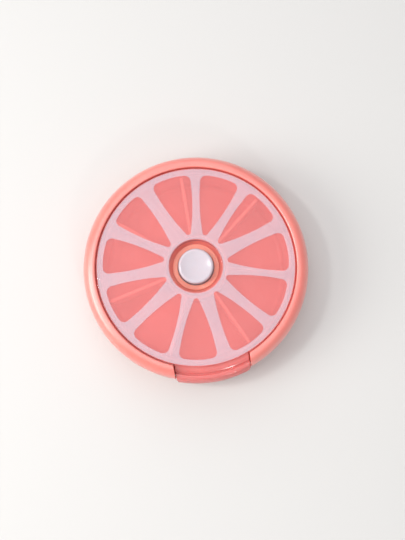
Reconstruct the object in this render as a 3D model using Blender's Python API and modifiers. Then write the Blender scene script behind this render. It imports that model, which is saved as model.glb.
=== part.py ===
"""Round push-to-turn pill organiser with seven compartments, a clear printed lid and an outlet flap.

Frame: origin at the centre of the underside, +Z up, outlet towards -Y. Sizes below are in millimetres
and are turned to metres where a mesh is made.
"""
import math

import bmesh
import bpy
from mathutils import Matrix, Vector

MM = 0.001
GAP = 0.3
STEPS = 48

# Case
CASE_RADIUS = 45.0
CREST_HEIGHT = 21.9
CREST_RADIUS = 40.7
SEAM_HEIGHT = 14.5
CASE_WALL = 1.5
FOOT_ROUND = 3.5
FLOOR_TOP = 2.0
FOOT_RECESS = 0.5
FOOT_WIDTH = 6.4

# Bowl that the wheel turns in
BOWL_RADIUS = 37.0
BOWL_WALL = 1.0
BOWL_TOP = 18.0
BOWL_FILLET = 2.2

# Lid
LID_RADIUS = 39.4
LID_TOP = 21.0
LID_THICKNESS = 1.4
LID_RIM_WIDTH = 0.8
LID_RIM_LOW = 18.7
WELL_RADIUS = 10.3
WELL_FLOOR = 17.2
WELL_WALL = 1.0
RIM_GROOVE = 0.45

# Button and the drive under it
BUTTON_RADIUS = 6.95
BUTTON_TOP = 21.3
BUTTON_DISH = 0.75
BUTTON_TRAVEL = 3.0
BUTTON_FLANGE = 1.35
STEM_SIDE = 4.2
STEM_LOW = 8.3
STEM_HEAD_RADIUS = 5.2
ROTOR_RADIUS = 5.6
ROTOR_LOW = 8.5
ROTOR_HEIGHT = 3.0

# Wheel
COMPARTMENTS = 7
WHEEL_CLEARANCE = 0.4
VANE_THICKNESS = 1.3
HUB_RADIUS = 12.8
HUB_WALL = 1.1

# Outlet and flap
OUTLET_HALF_WIDTH = 15.0
CHUTE_HALF_WIDTH = 13.5
CHUTE_FLOOR = 3.7
CHUTE_TOP = 12.5
FLAP_AXIS_Y = -40.8
FLAP_AXIS_Z = 17.4
FLAP_LIP_RADIUS = 46.3
FLAP_LOW = 4.3
PIN_RADIUS = 0.4
PIN_REACH = 1.3

# Screws that hold the case together
SCREWS = 3
SCREW_CIRCLE = 40.5
SCREW_BOSS_RADIUS = 2.0
SCREW_HEAD_RADIUS = 1.6
SCREW_SHANK_RADIUS = 0.85
SCREW_TOP = 9.0

# Slices of the printed lid: middle angle, width and lean of the point, in degrees about +Z.
# The print is drawn by hand, so its eleven slices are not quite alike.
SLICES = (
    (97, 24, -5), (65, 24, 0), (33, 22, 4), (0, 24, 1), (-31, 24, 2), (-64, 24, 1),
    (-98, 23, -1), (-130, 24, 2), (-163, 24, -4), (-196, 22, -6), (-229, 22, 2),
)
SLICE_OUTER = 36.7
SLICE_POINT = 12.0
SLICE_CORNER = 2.3
SLICE_BOW = 0.45
PRINT_RADIUS = 39.0
PRINT_INNER = 10.75
PRINT_THICKNESS = 0.2

# Worked out
STEP_ANGLE = 2.0 * math.pi / COMPARTMENTS
TWIST = STEP_ANGLE / BUTTON_TRAVEL
WHEEL_RADIUS = BOWL_RADIUS - WHEEL_CLEARANCE
WHEEL_LOW = FLOOR_TOP + WHEEL_CLEARANCE
LID_UNDERSIDE = LID_TOP - LID_THICKNESS
WHEEL_TOP = LID_UNDERSIDE - WHEEL_CLEARANCE
HUB_BORE = HUB_RADIUS - HUB_WALL
COLLAR_RADIUS = HUB_BORE - GAP
CASE_INNER = CASE_RADIUS - GAP - CASE_WALL
WELL_UNDERSIDE = WELL_FLOOR - 1.2
BUTTON_HOLE = BUTTON_RADIUS + GAP
FLANGE_TOP = WELL_UNDERSIDE - GAP
FLANGE_LOW = FLANGE_TOP - 0.8
TUBE_BORE = 3.5
TUBE_RADIUS = 4.9
TUBE_TOP = ROTOR_LOW - 1.1
SHELF_LOW = 15.8
SHELF_TOP = LID_RIM_LOW - GAP
SHELF_INNER = BOWL_RADIUS + BOWL_WALL + GAP
RIM_INNER = LID_RADIUS + RIM_GROOVE
FLAP_HALF_WIDTH = OUTLET_HALF_WIDTH - GAP


# ---------------------------------------------------------------- scene and materials

def clear_scene():
    """Remove every object that the file opens with."""
    for thing in list(bpy.data.objects):
        bpy.data.objects.remove(thing, do_unlink=True)


def new_collection(name):
    collection = bpy.data.collections.new(name)
    bpy.context.scene.collection.children.link(collection)
    return collection


def finish(name, colour, roughness, metallic=0.0, alpha=1.0):
    """A plain Principled material."""
    material = bpy.data.materials.new(name)
    material.use_nodes = True
    shader = material.node_tree.nodes["Principled BSDF"]
    shader.inputs["Base Color"].default_value = (*colour, 1.0)
    shader.inputs["Roughness"].default_value = roughness
    shader.inputs["Metallic"].default_value = metallic
    shader.inputs["Alpha"].default_value = alpha
    material.diffuse_color = (*colour, alpha)
    return material


# ---------------------------------------------------------------- shape helpers, millimetres in

def place(name, mesh, material, collection):
    """Put a mesh in the scene under its name, shaded smooth between its sharp edges."""
    if material is not None:
        mesh.materials.append(material)
    mesh.shade_smooth()
    mesh.set_sharp_from_angle(angle=math.radians(35))
    thing = bpy.data.objects.new(name, mesh)
    collection.objects.link(thing)
    return thing


def arc(centre_r, centre_z, radius, start, end, count):
    """Points of a profile's round corner, from one angle to another in degrees."""
    points = []
    for index in range(count + 1):
        angle = math.radians(start + (end - start) * index / count)
        points.append((centre_r + radius * math.cos(angle), centre_z + radius * math.sin(angle)))
    return points


def turned_mesh(name, profile, steps=STEPS):
    """Turn a profile of (radius, height) about Z. It runs down its outer side."""
    touches_axis = profile[0][0] == 0.0
    mesh = bpy.data.meshes.new(name)
    points = [(radius * MM, 0.0, height * MM) for radius, height in profile]
    edges = [(index, index + 1) for index in range(len(points) - 1)]
    if not touches_axis:
        edges.append((len(points) - 1, 0))
    mesh.from_pydata(points, edges, [])
    guide = bpy.data.objects.new(name + "_profile", mesh)
    bpy.context.scene.collection.objects.link(guide)
    screw = guide.modifiers.new("Turn", "SCREW")
    screw.steps = steps
    screw.render_steps = steps
    screw.use_merge_vertices = True
    screw.merge_threshold = 0.00001
    result = solid_mesh(guide)
    bpy.data.objects.remove(guide, do_unlink=True)
    return result


def solid_mesh(guide):
    """The evaluated mesh of a guide object, with its loose seams welded."""
    depsgraph = bpy.context.evaluated_depsgraph_get()
    mesh = bpy.data.meshes.new_from_object(guide.evaluated_get(depsgraph))
    work = bmesh.new()
    work.from_mesh(mesh)
    bmesh.ops.remove_doubles(work, verts=work.verts, dist=0.000005)
    bmesh.ops.recalc_face_normals(work, faces=work.faces)
    work.to_mesh(mesh)
    work.free()
    return mesh


def plate_mesh(name, outlines, low, high):
    """A flat plate between two heights, from closed outlines of (x, y); inner outlines are holes."""
    curve = bpy.data.curves.new(name, "CURVE")
    curve.dimensions = "2D"
    curve.fill_mode = "BOTH"
    curve.extrude = 0.5 * (high - low) * MM
    for outline in outlines:
        spline = curve.splines.new("POLY")
        spline.points.add(len(outline) - 1)
        for point, (x, y) in zip(spline.points, outline):
            point.co = (x * MM, y * MM, 0.0, 1.0)
        spline.use_cyclic_u = True
    guide = bpy.data.objects.new(name + "_outline", curve)
    bpy.context.scene.collection.objects.link(guide)
    mesh = solid_mesh(guide)
    bpy.data.objects.remove(guide, do_unlink=True)
    mesh.transform(Matrix.Translation((0.0, 0.0, 0.5 * (low + high) * MM)))
    return mesh


def circle(radius, count=STEPS):
    """Outline points of a circle about the axis."""
    turns = [2.0 * math.pi * index / count for index in range(count)]
    return [(radius * math.cos(turn), radius * math.sin(turn)) for turn in turns]


def polar(radius, angle):
    return (radius * math.cos(angle), radius * math.sin(angle))


def box_mesh(name, low, high):
    """A box between two corners."""
    work = bmesh.new()
    bmesh.ops.create_cube(work, size=1.0)
    size = [(b - a) * MM for a, b in zip(low, high)]
    middle = [0.5 * (a + b) * MM for a, b in zip(low, high)]
    bmesh.ops.scale(work, vec=size, verts=work.verts)
    bmesh.ops.translate(work, vec=middle, verts=work.verts)
    mesh = bpy.data.meshes.new(name)
    work.to_mesh(mesh)
    work.free()
    return mesh


def rod_mesh(name, radius, start, end, sides=16):
    """A round rod between two points."""
    start, end = Vector(start) * MM, Vector(end) * MM
    work = bmesh.new()
    bmesh.ops.create_cone(work, cap_ends=True, segments=sides, radius1=radius * MM, radius2=radius * MM,
                          depth=(end - start).length)
    mesh = bpy.data.meshes.new(name)
    work.to_mesh(mesh)
    work.free()
    turn = (end - start).to_track_quat("Z", "Y").to_matrix().to_4x4()
    mesh.transform(Matrix.Translation((start + end) / 2.0) @ turn)
    return mesh


def twisted_bar_mesh(name, side, low, high, phase_height):
    """A square bar that twists by one compartment over the button's travel."""
    steps = math.ceil(math.degrees(TWIST * (high - low)) / 9.0)
    work = bmesh.new()
    bmesh.ops.create_cone(work, cap_ends=True, segments=4, radius1=side * MM / math.sqrt(2.0),
                          radius2=side * MM / math.sqrt(2.0), depth=(high - low) * MM)
    bmesh.ops.translate(work, vec=(0.0, 0.0, 0.5 * (low + high) * MM), verts=work.verts)
    upright = [edge for edge in work.edges if abs(edge.verts[0].co.z - edge.verts[1].co.z) > 0.5 * MM]
    bmesh.ops.subdivide_edges(work, edges=upright, cuts=steps - 1, use_grid_fill=True)
    for vertex in work.verts:
        turn = Matrix.Rotation(TWIST * (vertex.co.z / MM - phase_height), 3, "Z")
        vertex.co = turn @ vertex.co
    bmesh.ops.triangulate(work, faces=work.faces)
    mesh = bpy.data.meshes.new(name)
    work.to_mesh(mesh)
    work.free()
    return mesh


class Workshop:
    """Holds the collections and makes parts and the shapes that cut or join them."""

    def __init__(self):
        self.parts = new_collection("pill_organiser")
        self.cutters = new_collection("cutters")

    def part(self, name, mesh, material):
        return place(name, mesh, material, self.parts)

    def tool(self, name, mesh):
        """A shape that only cuts, joins or trims another."""
        thing = place(name, mesh, None, self.cutters)
        thing.hide_render = True
        thing.display_type = "WIRE"
        return thing


def combine(thing, tool, operation):
    """Add an exact Boolean: DIFFERENCE, UNION or INTERSECT."""
    modifier = thing.modifiers.new(tool.name, "BOOLEAN")
    modifier.operation = operation
    modifier.solver = "EXACT"
    modifier.object = tool


# ---------------------------------------------------------------- profiles

def base_profile():
    """Lower case: centre tube, bearing collar, bowl with a round floor edge, outer wall and foot."""
    bowl_edge = arc(BOWL_RADIUS - BOWL_FILLET, FLOOR_TOP + BOWL_FILLET, BOWL_FILLET, -90, 0, 4)
    trench = FLOOR_TOP - 0.2
    wall_top = SEAM_HEIGHT - 0.5 * GAP
    outer = CASE_INNER + CASE_WALL
    foot = arc(outer - FOOT_ROUND, FOOT_ROUND, FOOT_ROUND, 0, -90, 6)
    foot_inner = outer - FOOT_ROUND - FOOT_WIDTH
    centre_pad = 8.0
    return [
        (0.0, FLOOR_TOP), (TUBE_BORE, FLOOR_TOP), (TUBE_BORE, TUBE_TOP), (TUBE_RADIUS, TUBE_TOP),
        (TUBE_RADIUS, FLOOR_TOP), (COLLAR_RADIUS - 1.2, FLOOR_TOP), (COLLAR_RADIUS - 1.2, FLOOR_TOP + 2.6),
        (COLLAR_RADIUS, FLOOR_TOP + 2.6), (COLLAR_RADIUS, FLOOR_TOP),
        *bowl_edge, (BOWL_RADIUS, BOWL_TOP), (BOWL_RADIUS + BOWL_WALL, BOWL_TOP),
        (BOWL_RADIUS + BOWL_WALL, trench), (CASE_INNER - 0.9, trench), (CASE_INNER, trench + 1.0),
        (CASE_INNER, wall_top), (outer, wall_top), *foot,
        (foot_inner, 0.0), (foot_inner - 0.4, FOOT_RECESS), (centre_pad + 0.4, FOOT_RECESS),
        (centre_pad, 0.0), (0.0, 0.0),
    ]


def rim_profile():
    """Upper case: crest beside the lid, round outer slope, spigot and the shelf that carries the lid."""
    slope = []
    for angle in (90, 72, 54, 36, 18, 0):
        turn = math.radians(angle)
        slope.append((CREST_RADIUS + (CASE_RADIUS - CREST_RADIUS) * math.cos(turn),
                      15.5 + (CREST_HEIGHT - 15.5) * math.sin(turn)))
    seam = SEAM_HEIGHT + 0.5 * GAP
    spigot = CASE_INNER - GAP
    return [
        (RIM_INNER, CREST_HEIGHT - 0.6), (RIM_INNER + 0.3, CREST_HEIGHT - 0.15), *slope,
        (CASE_RADIUS, seam + 0.25), (CASE_RADIUS - 0.25, seam), (spigot, seam), (spigot, seam - 2.0),
        (spigot - 1.0, seam - 2.0), (spigot - 1.0, SHELF_LOW), (SHELF_INNER, SHELF_LOW),
        (SHELF_INNER, SHELF_TOP), (RIM_INNER, SHELF_TOP),
    ]


def lid_profile():
    """Clear lid: flat disc, rim that stands on the shelf, and the round well for the button."""
    well_low = arc(WELL_RADIUS - 1.1, WELL_FLOOR + 0.9, 0.9, -90, 0, 3)
    well_high = arc(WELL_RADIUS + 0.5, LID_TOP - 0.5, 0.5, 180, 90, 3)
    outside_well = WELL_RADIUS + WELL_WALL - 0.2
    return [
        *well_high, (LID_RADIUS - 0.3, LID_TOP), (LID_RADIUS, LID_TOP - 0.3), (LID_RADIUS, LID_RIM_LOW),
        (LID_RADIUS - LID_RIM_WIDTH, LID_RIM_LOW), (LID_RADIUS - LID_RIM_WIDTH, LID_UNDERSIDE),
        (outside_well + 0.3, LID_UNDERSIDE), (outside_well, LID_UNDERSIDE - 0.3),
        (outside_well - 0.1, WELL_UNDERSIDE), (BUTTON_HOLE, WELL_UNDERSIDE), (BUTTON_HOLE, WELL_FLOOR),
        *well_low,
    ]


def button_profile():
    """White cap: shallow dish, round rim, skirt, and the flange that keeps it under the well."""
    dish_radius = BUTTON_RADIUS - 1.3
    dish = [(dish_radius * share, BUTTON_TOP - BUTTON_DISH * (1.0 - share * share)) for share in (0.0, 0.4, 0.7, 0.9)]
    rim = arc(BUTTON_RADIUS - 0.9, BUTTON_TOP - 0.85, 0.9, 90, 0, 4)
    cavity = BUTTON_RADIUS - 1.35
    return [
        *dish, *rim, (BUTTON_RADIUS, FLANGE_TOP), (BUTTON_RADIUS + BUTTON_FLANGE, FLANGE_TOP),
        (BUTTON_RADIUS + BUTTON_FLANGE, FLANGE_LOW), (cavity, FLANGE_LOW),
        (cavity, BUTTON_TOP - 2.0), (0.0, BUTTON_TOP - 2.0),
    ]


def flap_profile():
    """Flap: strip that starts under the lid's edge, groove, shoulder, front plate and finger lip."""
    return [
        (39.2, 18.9), (39.35, 19.2), (40.2, 19.3), (42.4, 18.8), (42.75, 18.4), (43.05, 18.4),
        (43.4, 18.75), (44.1, 18.6), (45.0, 17.6), (45.5, 16.0), (45.6, 9.5), (FLAP_LIP_RADIUS, 7.6),
        (FLAP_LIP_RADIUS, 5.2), (45.9, FLAP_LOW), (44.6, FLAP_LOW), (44.2, 9.5), (44.1, 14.4),
        (43.4, 15.7), (42.1, 16.3), (41.6, 17.2), (39.4, 17.6), (39.2, 17.8),
    ]


def wheel_envelope():
    """Outer bounds of the wheel: clear of the washer, the bowl's round floor edge and the lid."""
    slant = BOWL_FILLET + 0.2
    return [
        (0.0, WHEEL_TOP), (WHEEL_RADIUS, WHEEL_TOP), (WHEEL_RADIUS, WHEEL_LOW + slant),
        (WHEEL_RADIUS - slant, WHEEL_LOW), (HUB_RADIUS + GAP, WHEEL_LOW),
        (HUB_RADIUS + GAP, WHEEL_LOW + 0.5), (0.0, WHEEL_LOW + 0.5),
    ]


# ---------------------------------------------------------------- outlines

def wheel_outline():
    """Hub with seven radial vanes, the outlet facing the middle of a compartment."""
    outline = []
    half = 0.5 * VANE_THICKNESS
    reach = WHEEL_RADIUS + 1.0
    for index in range(COMPARTMENTS):
        middle = -0.5 * math.pi + (index + 0.5) * STEP_ANGLE
        root = math.asin(half / HUB_RADIUS)
        along = Vector(polar(1.0, middle))
        across = Vector((-along.y, along.x))
        outline.append(polar(HUB_RADIUS, middle - root))
        outline.append(tuple(along * reach - across * half))
        outline.append(tuple(along * reach + across * half))
        for share in (0.0, 0.2, 0.4, 0.6, 0.8):
            angle = middle + root + share * (STEP_ANGLE - 2.0 * root)
            outline.append(polar(HUB_RADIUS, angle))
    return outline


def saw_outline(low_radius, high_radius, points=6):
    """Seven saw teeth that point inwards; each rises to the left and drops at once."""
    outline = []
    for index in range(COMPARTMENTS):
        for point in range(points):
            share = point / (points - 1)
            angle = (index + 0.999 * share) * STEP_ANGLE
            outline.append(polar(low_radius + (high_radius - low_radius) * share, angle))
    return outline


def pawl_outline(root_radius, tip_radius, start, sweep, thickness, points=6):
    """A curved spring arm that leaves a hub and ends in a blunt tip."""
    outer, inner = [], []
    for point in range(points + 1):
        share = point / points
        angle = start + sweep * share
        radius = root_radius + (tip_radius - root_radius) * share
        outer.append(polar(radius, angle))
        inner.append(polar(radius - thickness, angle))
    return outer + inner[::-1]


def rounded_corner(before, corner, after, radius, count=3):
    """Points of an arc that rounds a corner of an outline."""
    before, corner, after = Vector(before), Vector(corner), Vector(after)
    first = (before - corner).normalized()
    second = (after - corner).normalized()
    half = 0.5 * first.angle(second)
    reach = radius / math.tan(half)
    start, end = corner + first * reach, corner + second * reach
    centre = corner + (first + second).normalized() * (radius / math.sin(half))
    points = []
    for index in range(count + 1):
        direction = (start - centre).slerp(end - centre, index / count)
        points.append(tuple(centre + direction * radius))
    return points


def slice_outline(middle, width, lean):
    """One window of the print: a slice with a round point, bowed sides and round outer corners."""
    middle, half, lean = math.radians(middle), 0.5 * math.radians(width), math.radians(lean)
    point = Vector(polar(SLICE_POINT - 1.0, middle + lean))
    right = Vector(polar(SLICE_OUTER, middle - half))
    left = Vector(polar(SLICE_OUTER, middle + half))
    right_side = (point + right) / 2.0 + (right - point).orthogonal().normalized() * -SLICE_BOW
    left_side = (point + left) / 2.0 + (left - point).orthogonal().normalized() * SLICE_BOW
    outer = [polar(SLICE_OUTER, middle + half * share) for share in (-0.5, 0.0, 0.5)]
    return [
        *rounded_corner(left_side, point, right_side, 0.9),
        tuple(right_side),
        *rounded_corner(right_side, right, outer[0], SLICE_CORNER),
        *outer,
        *rounded_corner(outer[-1], left, left_side, SLICE_CORNER),
        tuple(left_side),
    ]


def screw_places():
    """Angles of the case screws, the first opposite the outlet."""
    return [0.5 * math.pi + index * 2.0 * math.pi / SCREWS for index in range(SCREWS)]


def at_screw(angle, height):
    x, y = polar(SCREW_CIRCLE, angle)
    return (x, y, height)


# ---------------------------------------------------------------- pieces

def build_base(shop, material):
    """Lower case with the outlet slot, the chute through the bowl's wall and the screw holes."""
    base = shop.part("base_shell", turned_mesh("base_shell", base_profile()), material)
    slot = box_mesh("base_slot", (-OUTLET_HALF_WIDTH, -60.0, CHUTE_FLOOR + GAP),
                    (OUTLET_HALF_WIDTH, -BOWL_RADIUS - BOWL_WALL - GAP, 40.0))
    combine(base, shop.tool("base_slot", slot), "DIFFERENCE")
    chute_profile = [(43.6, CHUTE_TOP), (43.6, 1.0), (BOWL_RADIUS + 0.6, 1.0), (BOWL_RADIUS + 0.6, CHUTE_TOP)]
    chute = shop.tool("chute", turned_mesh("chute", chute_profile))
    side = shop.tool("chute_sides", box_mesh("chute_sides", (-FLAP_HALF_WIDTH, -60.0, 0.0),
                                             (FLAP_HALF_WIDTH, -20.0, 30.0)))
    combine(chute, side, "INTERSECT")
    combine(base, chute, "UNION")
    channel = box_mesh("chute_channel", (-CHUTE_HALF_WIDTH, -60.0, CHUTE_FLOOR), (CHUTE_HALF_WIDTH, -30.0, 40.0))
    combine(base, shop.tool("chute_channel", channel), "DIFFERENCE")
    for index, angle in enumerate(screw_places(), start=1):
        hole = rod_mesh("hole", SCREW_SHANK_RADIUS + GAP, at_screw(angle, -1.0), at_screw(angle, 4.0))
        combine(base, shop.tool(f"screw_hole_{index}", hole), "DIFFERENCE")
        recess = rod_mesh("recess", SCREW_HEAD_RADIUS + GAP, at_screw(angle, -1.0), at_screw(angle, 1.1))
        combine(base, shop.tool(f"screw_recess_{index}", recess), "DIFFERENCE")


def build_upper_case(shop, material):
    """Rim ring with the outlet slot, three screw bosses and the sockets of the flap's pins."""
    rim = shop.part("upper_case", turned_mesh("upper_case", rim_profile()), material)
    for index, angle in enumerate(screw_places(), start=1):
        boss = rod_mesh("boss", SCREW_BOSS_RADIUS, at_screw(angle, 2.1), at_screw(angle, SHELF_LOW + 0.8))
        combine(rim, shop.tool(f"boss_{index}", boss), "UNION")
        pilot = rod_mesh("pilot", SCREW_SHANK_RADIUS + GAP, at_screw(angle, 1.0), at_screw(angle, SCREW_TOP + 1.0))
        combine(rim, shop.tool(f"boss_bore_{index}", pilot), "DIFFERENCE")
    slot = box_mesh("rim_slot", (-OUTLET_HALF_WIDTH, -60.0, -5.0), (OUTLET_HALF_WIDTH, -30.0, 40.0))
    combine(rim, shop.tool("rim_slot", slot), "DIFFERENCE")
    reach = OUTLET_HALF_WIDTH + PIN_REACH + 0.2
    socket = rod_mesh("pin_sockets", PIN_RADIUS + GAP, (-reach, FLAP_AXIS_Y, FLAP_AXIS_Z),
                      (reach, FLAP_AXIS_Y, FLAP_AXIS_Z))
    combine(rim, shop.tool("pin_sockets", socket), "DIFFERENCE")


def build_lid(shop, clear, ink, rubber):
    """Clear lid, the printed film on it and the soft ring under it."""
    lid = shop.part("clear_lid", turned_mesh("clear_lid", lid_profile()), clear)
    relief = box_mesh("lid_relief", (-FLAP_HALF_WIDTH - 0.5, -60.0, 10.0),
                      (FLAP_HALF_WIDTH + 0.5, -30.0, LID_UNDERSIDE - 0.05))
    combine(lid, shop.tool("lid_relief", relief), "DIFFERENCE")
    windows = [slice_outline(*piece) for piece in SLICES]
    low = LID_TOP + 0.15
    outlines = [circle(PRINT_RADIUS), circle(PRINT_INNER), *windows]
    shop.part("lid_decal", plate_mesh("lid_decal", outlines, low, low + PRINT_THICKNESS), ink)
    seal_low, seal_high = BOWL_TOP + GAP, LID_UNDERSIDE - GAP
    outer, inner = BOWL_RADIUS + BOWL_WALL, BOWL_RADIUS + 0.1
    seal = [(outer - 0.2, seal_high), (outer, seal_high - 0.2), (outer, seal_low), (inner, seal_low),
            (inner, seal_high - 0.2), (inner + 0.2, seal_high)]
    shop.part("lid_seal", turned_mesh("lid_seal", seal), rubber)


def build_wheel(shop, tinted, acetal):
    """Wheel with seven vanes, its saw-tooth ring and the washer under its hub."""
    outlines = [wheel_outline(), circle(HUB_BORE)]
    wheel = shop.part("dose_wheel", plate_mesh("dose_wheel", outlines, 0.0, 30.0), tinted)
    envelope = shop.tool("wheel_envelope", turned_mesh("wheel_envelope", wheel_envelope()))
    combine(wheel, envelope, "INTERSECT")
    teeth = [circle(COLLAR_RADIUS), saw_outline(9.3, 10.5)]
    shop.part("ratchet_ring", plate_mesh("ratchet_ring", teeth, FLOOR_TOP + 3.0, ROTOR_LOW + ROTOR_HEIGHT + 0.5),
              acetal)
    washer = [circle(HUB_RADIUS), circle(HUB_BORE)]
    shop.part("wheel_washer", plate_mesh("wheel_washer", washer, FLOOR_TOP + GAP, FLOOR_TOP + 2.0 * GAP), acetal)


def build_button(shop, white, acetal):
    """Push button and the twisted stem fixed in it; both travel straight down."""
    shop.part("button_cap", turned_mesh("button_cap", button_profile()), white)
    head_low = BUTTON_TOP - 4.4
    stem = twisted_bar_mesh("drive_stem", STEM_SIDE, STEM_LOW, head_low + 0.5, STEM_LOW)
    stem = shop.part("drive_stem", stem, acetal)
    head = rod_mesh("stem_head", STEM_HEAD_RADIUS, (0, 0, head_low), (0, 0, BUTTON_TOP - 2.0 - GAP), STEPS // 2)
    combine(stem, shop.tool("stem_head", head), "UNION")


def build_rotor(shop, acetal):
    """Nut on the twisted stem, with three pawls that reach for the saw teeth."""
    top = ROTOR_LOW + ROTOR_HEIGHT
    nut = rod_mesh("index_rotor", ROTOR_RADIUS, (0, 0, ROTOR_LOW), (0, 0, top), STEPS // 2)
    rotor = shop.part("index_rotor", nut, acetal)
    for index, tooth in enumerate((0, 2, 5), start=1):
        start = tooth * STEP_ANGLE
        arm = pawl_outline(ROTOR_RADIUS, 8.9, start, math.radians(62), 0.9)
        tool = shop.tool(f"pawl_{index}", plate_mesh("pawl", [arm], ROTOR_LOW + 0.3, top - 0.3))
        combine(rotor, tool, "UNION")
    bore = twisted_bar_mesh("rotor_bore", STEM_SIDE + 2.0 * GAP, ROTOR_LOW - 1.0, top + 1.0, STEM_LOW)
    combine(rotor, shop.tool("rotor_bore", bore), "DIFFERENCE")
    washer = [circle(ROTOR_RADIUS - 0.2, STEPS // 2), circle(TUBE_BORE, STEPS // 2)]
    shop.part("rotor_washer", plate_mesh("rotor_washer", washer, TUBE_TOP + GAP, ROTOR_LOW - GAP), acetal)


def build_springs(shop, steel):
    """Holding pawl round the centre tube, and the coil that lifts the button."""
    ring = [circle(TUBE_RADIUS + GAP + 0.8, STEPS // 2), circle(TUBE_RADIUS + GAP, STEPS // 2)]
    low, high = FLOOR_TOP + 2.9, TUBE_TOP - 0.2
    click = shop.part("click_spring", plate_mesh("click_spring", ring, low, high), steel)
    arm = pawl_outline(TUBE_RADIUS + GAP + 0.75, 8.9, math.radians(25), math.radians(70), 0.5)
    combine(click, shop.tool("click_arm", plate_mesh("click_arm", [arm], low + 0.2, high - 0.2)), "UNION")

    turns, points_per_turn, radius = 5, 10, 2.7
    bottom, top = FLOOR_TOP + 0.55, STEM_LOW - 0.5
    curve = bpy.data.curves.new("return_spring", "CURVE")
    curve.dimensions = "3D"
    curve.bevel_depth = 0.22 * MM
    curve.bevel_resolution = 2
    curve.use_fill_caps = True
    count = turns * points_per_turn + 1
    spline = curve.splines.new("POLY")
    spline.points.add(count - 1)
    for index, point in enumerate(spline.points):
        share = index / (count - 1)
        x, y = polar(radius, 2.0 * math.pi * index / points_per_turn)
        point.co = (x * MM, y * MM, (bottom + (top - bottom) * share) * MM, 1.0)
    curve.materials.append(steel)
    shop.parts.objects.link(bpy.data.objects.new("return_spring", curve))


def build_flap(shop, tinted_clear, steel):
    """Flap and its two hinge pins. Its origin lies on the hinge axis."""
    flap = shop.part("outlet_flap", turned_mesh("outlet_flap", flap_profile()), tinted_clear)
    sides = box_mesh("flap_sides", (-FLAP_HALF_WIDTH, -60.0, 0.0), (FLAP_HALF_WIDTH, -20.0, 30.0))
    combine(flap, shop.tool("flap_sides", sides), "INTERSECT")
    for name, side in (("left", -1.0), ("right", 1.0)):
        inner, outer = FLAP_HALF_WIDTH - PIN_REACH - 0.2, FLAP_HALF_WIDTH + 1.0
        bore = rod_mesh("bore", PIN_RADIUS + GAP, (side * inner, FLAP_AXIS_Y, FLAP_AXIS_Z),
                        (side * outer, FLAP_AXIS_Y, FLAP_AXIS_Z))
        combine(flap, shop.tool(f"flap_bore_{name}", bore), "DIFFERENCE")
        pin = rod_mesh("pin", PIN_RADIUS, (side * (inner + 0.2), FLAP_AXIS_Y, FLAP_AXIS_Z),
                       (side * (OUTLET_HALF_WIDTH + PIN_REACH), FLAP_AXIS_Y, FLAP_AXIS_Z))
        shop.part(f"flap_pin_{name}", pin, steel)
    hinge = Vector((0.0, FLAP_AXIS_Y * MM, FLAP_AXIS_Z * MM))
    flap.data.transform(Matrix.Translation(-hinge))
    flap.location = hinge


def build_screws(shop, steel):
    """Three screws that enter the case from below."""
    head_low, head_top = 0.25, 0.9
    for index, angle in enumerate(screw_places(), start=1):
        profile = [(0.0, SCREW_TOP), (0.2, SCREW_TOP), (SCREW_SHANK_RADIUS, SCREW_TOP - 1.2),
                   (SCREW_SHANK_RADIUS, head_top), (SCREW_HEAD_RADIUS, head_top),
                   (SCREW_HEAD_RADIUS, head_low + 0.2), (SCREW_HEAD_RADIUS - 0.2, head_low), (0.0, head_low)]
        screw = shop.part(f"case_screw_{index}", turned_mesh("case_screw", profile, 16), steel)
        x, y = polar(SCREW_CIRCLE * MM, angle)
        screw.location = (x, y, 0.0)


def main():
    clear_scene()
    shop = Workshop()
    pink = finish("pink_abs", (0.91, 0.42, 0.36), 0.38)
    clear = finish("clear_polystyrene", (1.0, 0.80, 0.77), 0.08, alpha=0.25)
    ink = finish("white_print", (0.86, 0.62, 0.63), 0.5)
    tinted = finish("tinted_polystyrene", (0.88, 0.29, 0.25), 0.2, alpha=0.8)
    tinted_clear = finish("tinted_clear", (0.88, 0.30, 0.28), 0.12, alpha=0.7)
    white = finish("white_abs", (0.80, 0.74, 0.77), 0.25)
    acetal = finish("acetal", (0.85, 0.85, 0.82), 0.35)
    rubber = finish("silicone", (0.85, 0.60, 0.58), 0.6)
    steel = finish("spring_steel", (0.62, 0.62, 0.64), 0.3, metallic=1.0)

    build_base(shop, pink)
    build_upper_case(shop, pink)
    build_lid(shop, clear, ink, rubber)
    build_wheel(shop, tinted, acetal)
    build_button(shop, white, acetal)
    build_rotor(shop, acetal)
    build_springs(shop, steel)
    build_flap(shop, tinted_clear, steel)
    build_screws(shop, steel)


main()
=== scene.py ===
"""Looks of a round push-to-turn pill organiser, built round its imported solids.

Sizes are in millimetres and become metres where a mesh is made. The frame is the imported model's: its
origin is the centre of the underside, +Z is up and the outlet faces -Y.
"""

import logging
import math
from abc import ABC, abstractmethod
from collections.abc import Sequence
from dataclasses import dataclass
from enum import Enum

import bmesh
import bpy
from mathutils import Matrix, Vector


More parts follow.
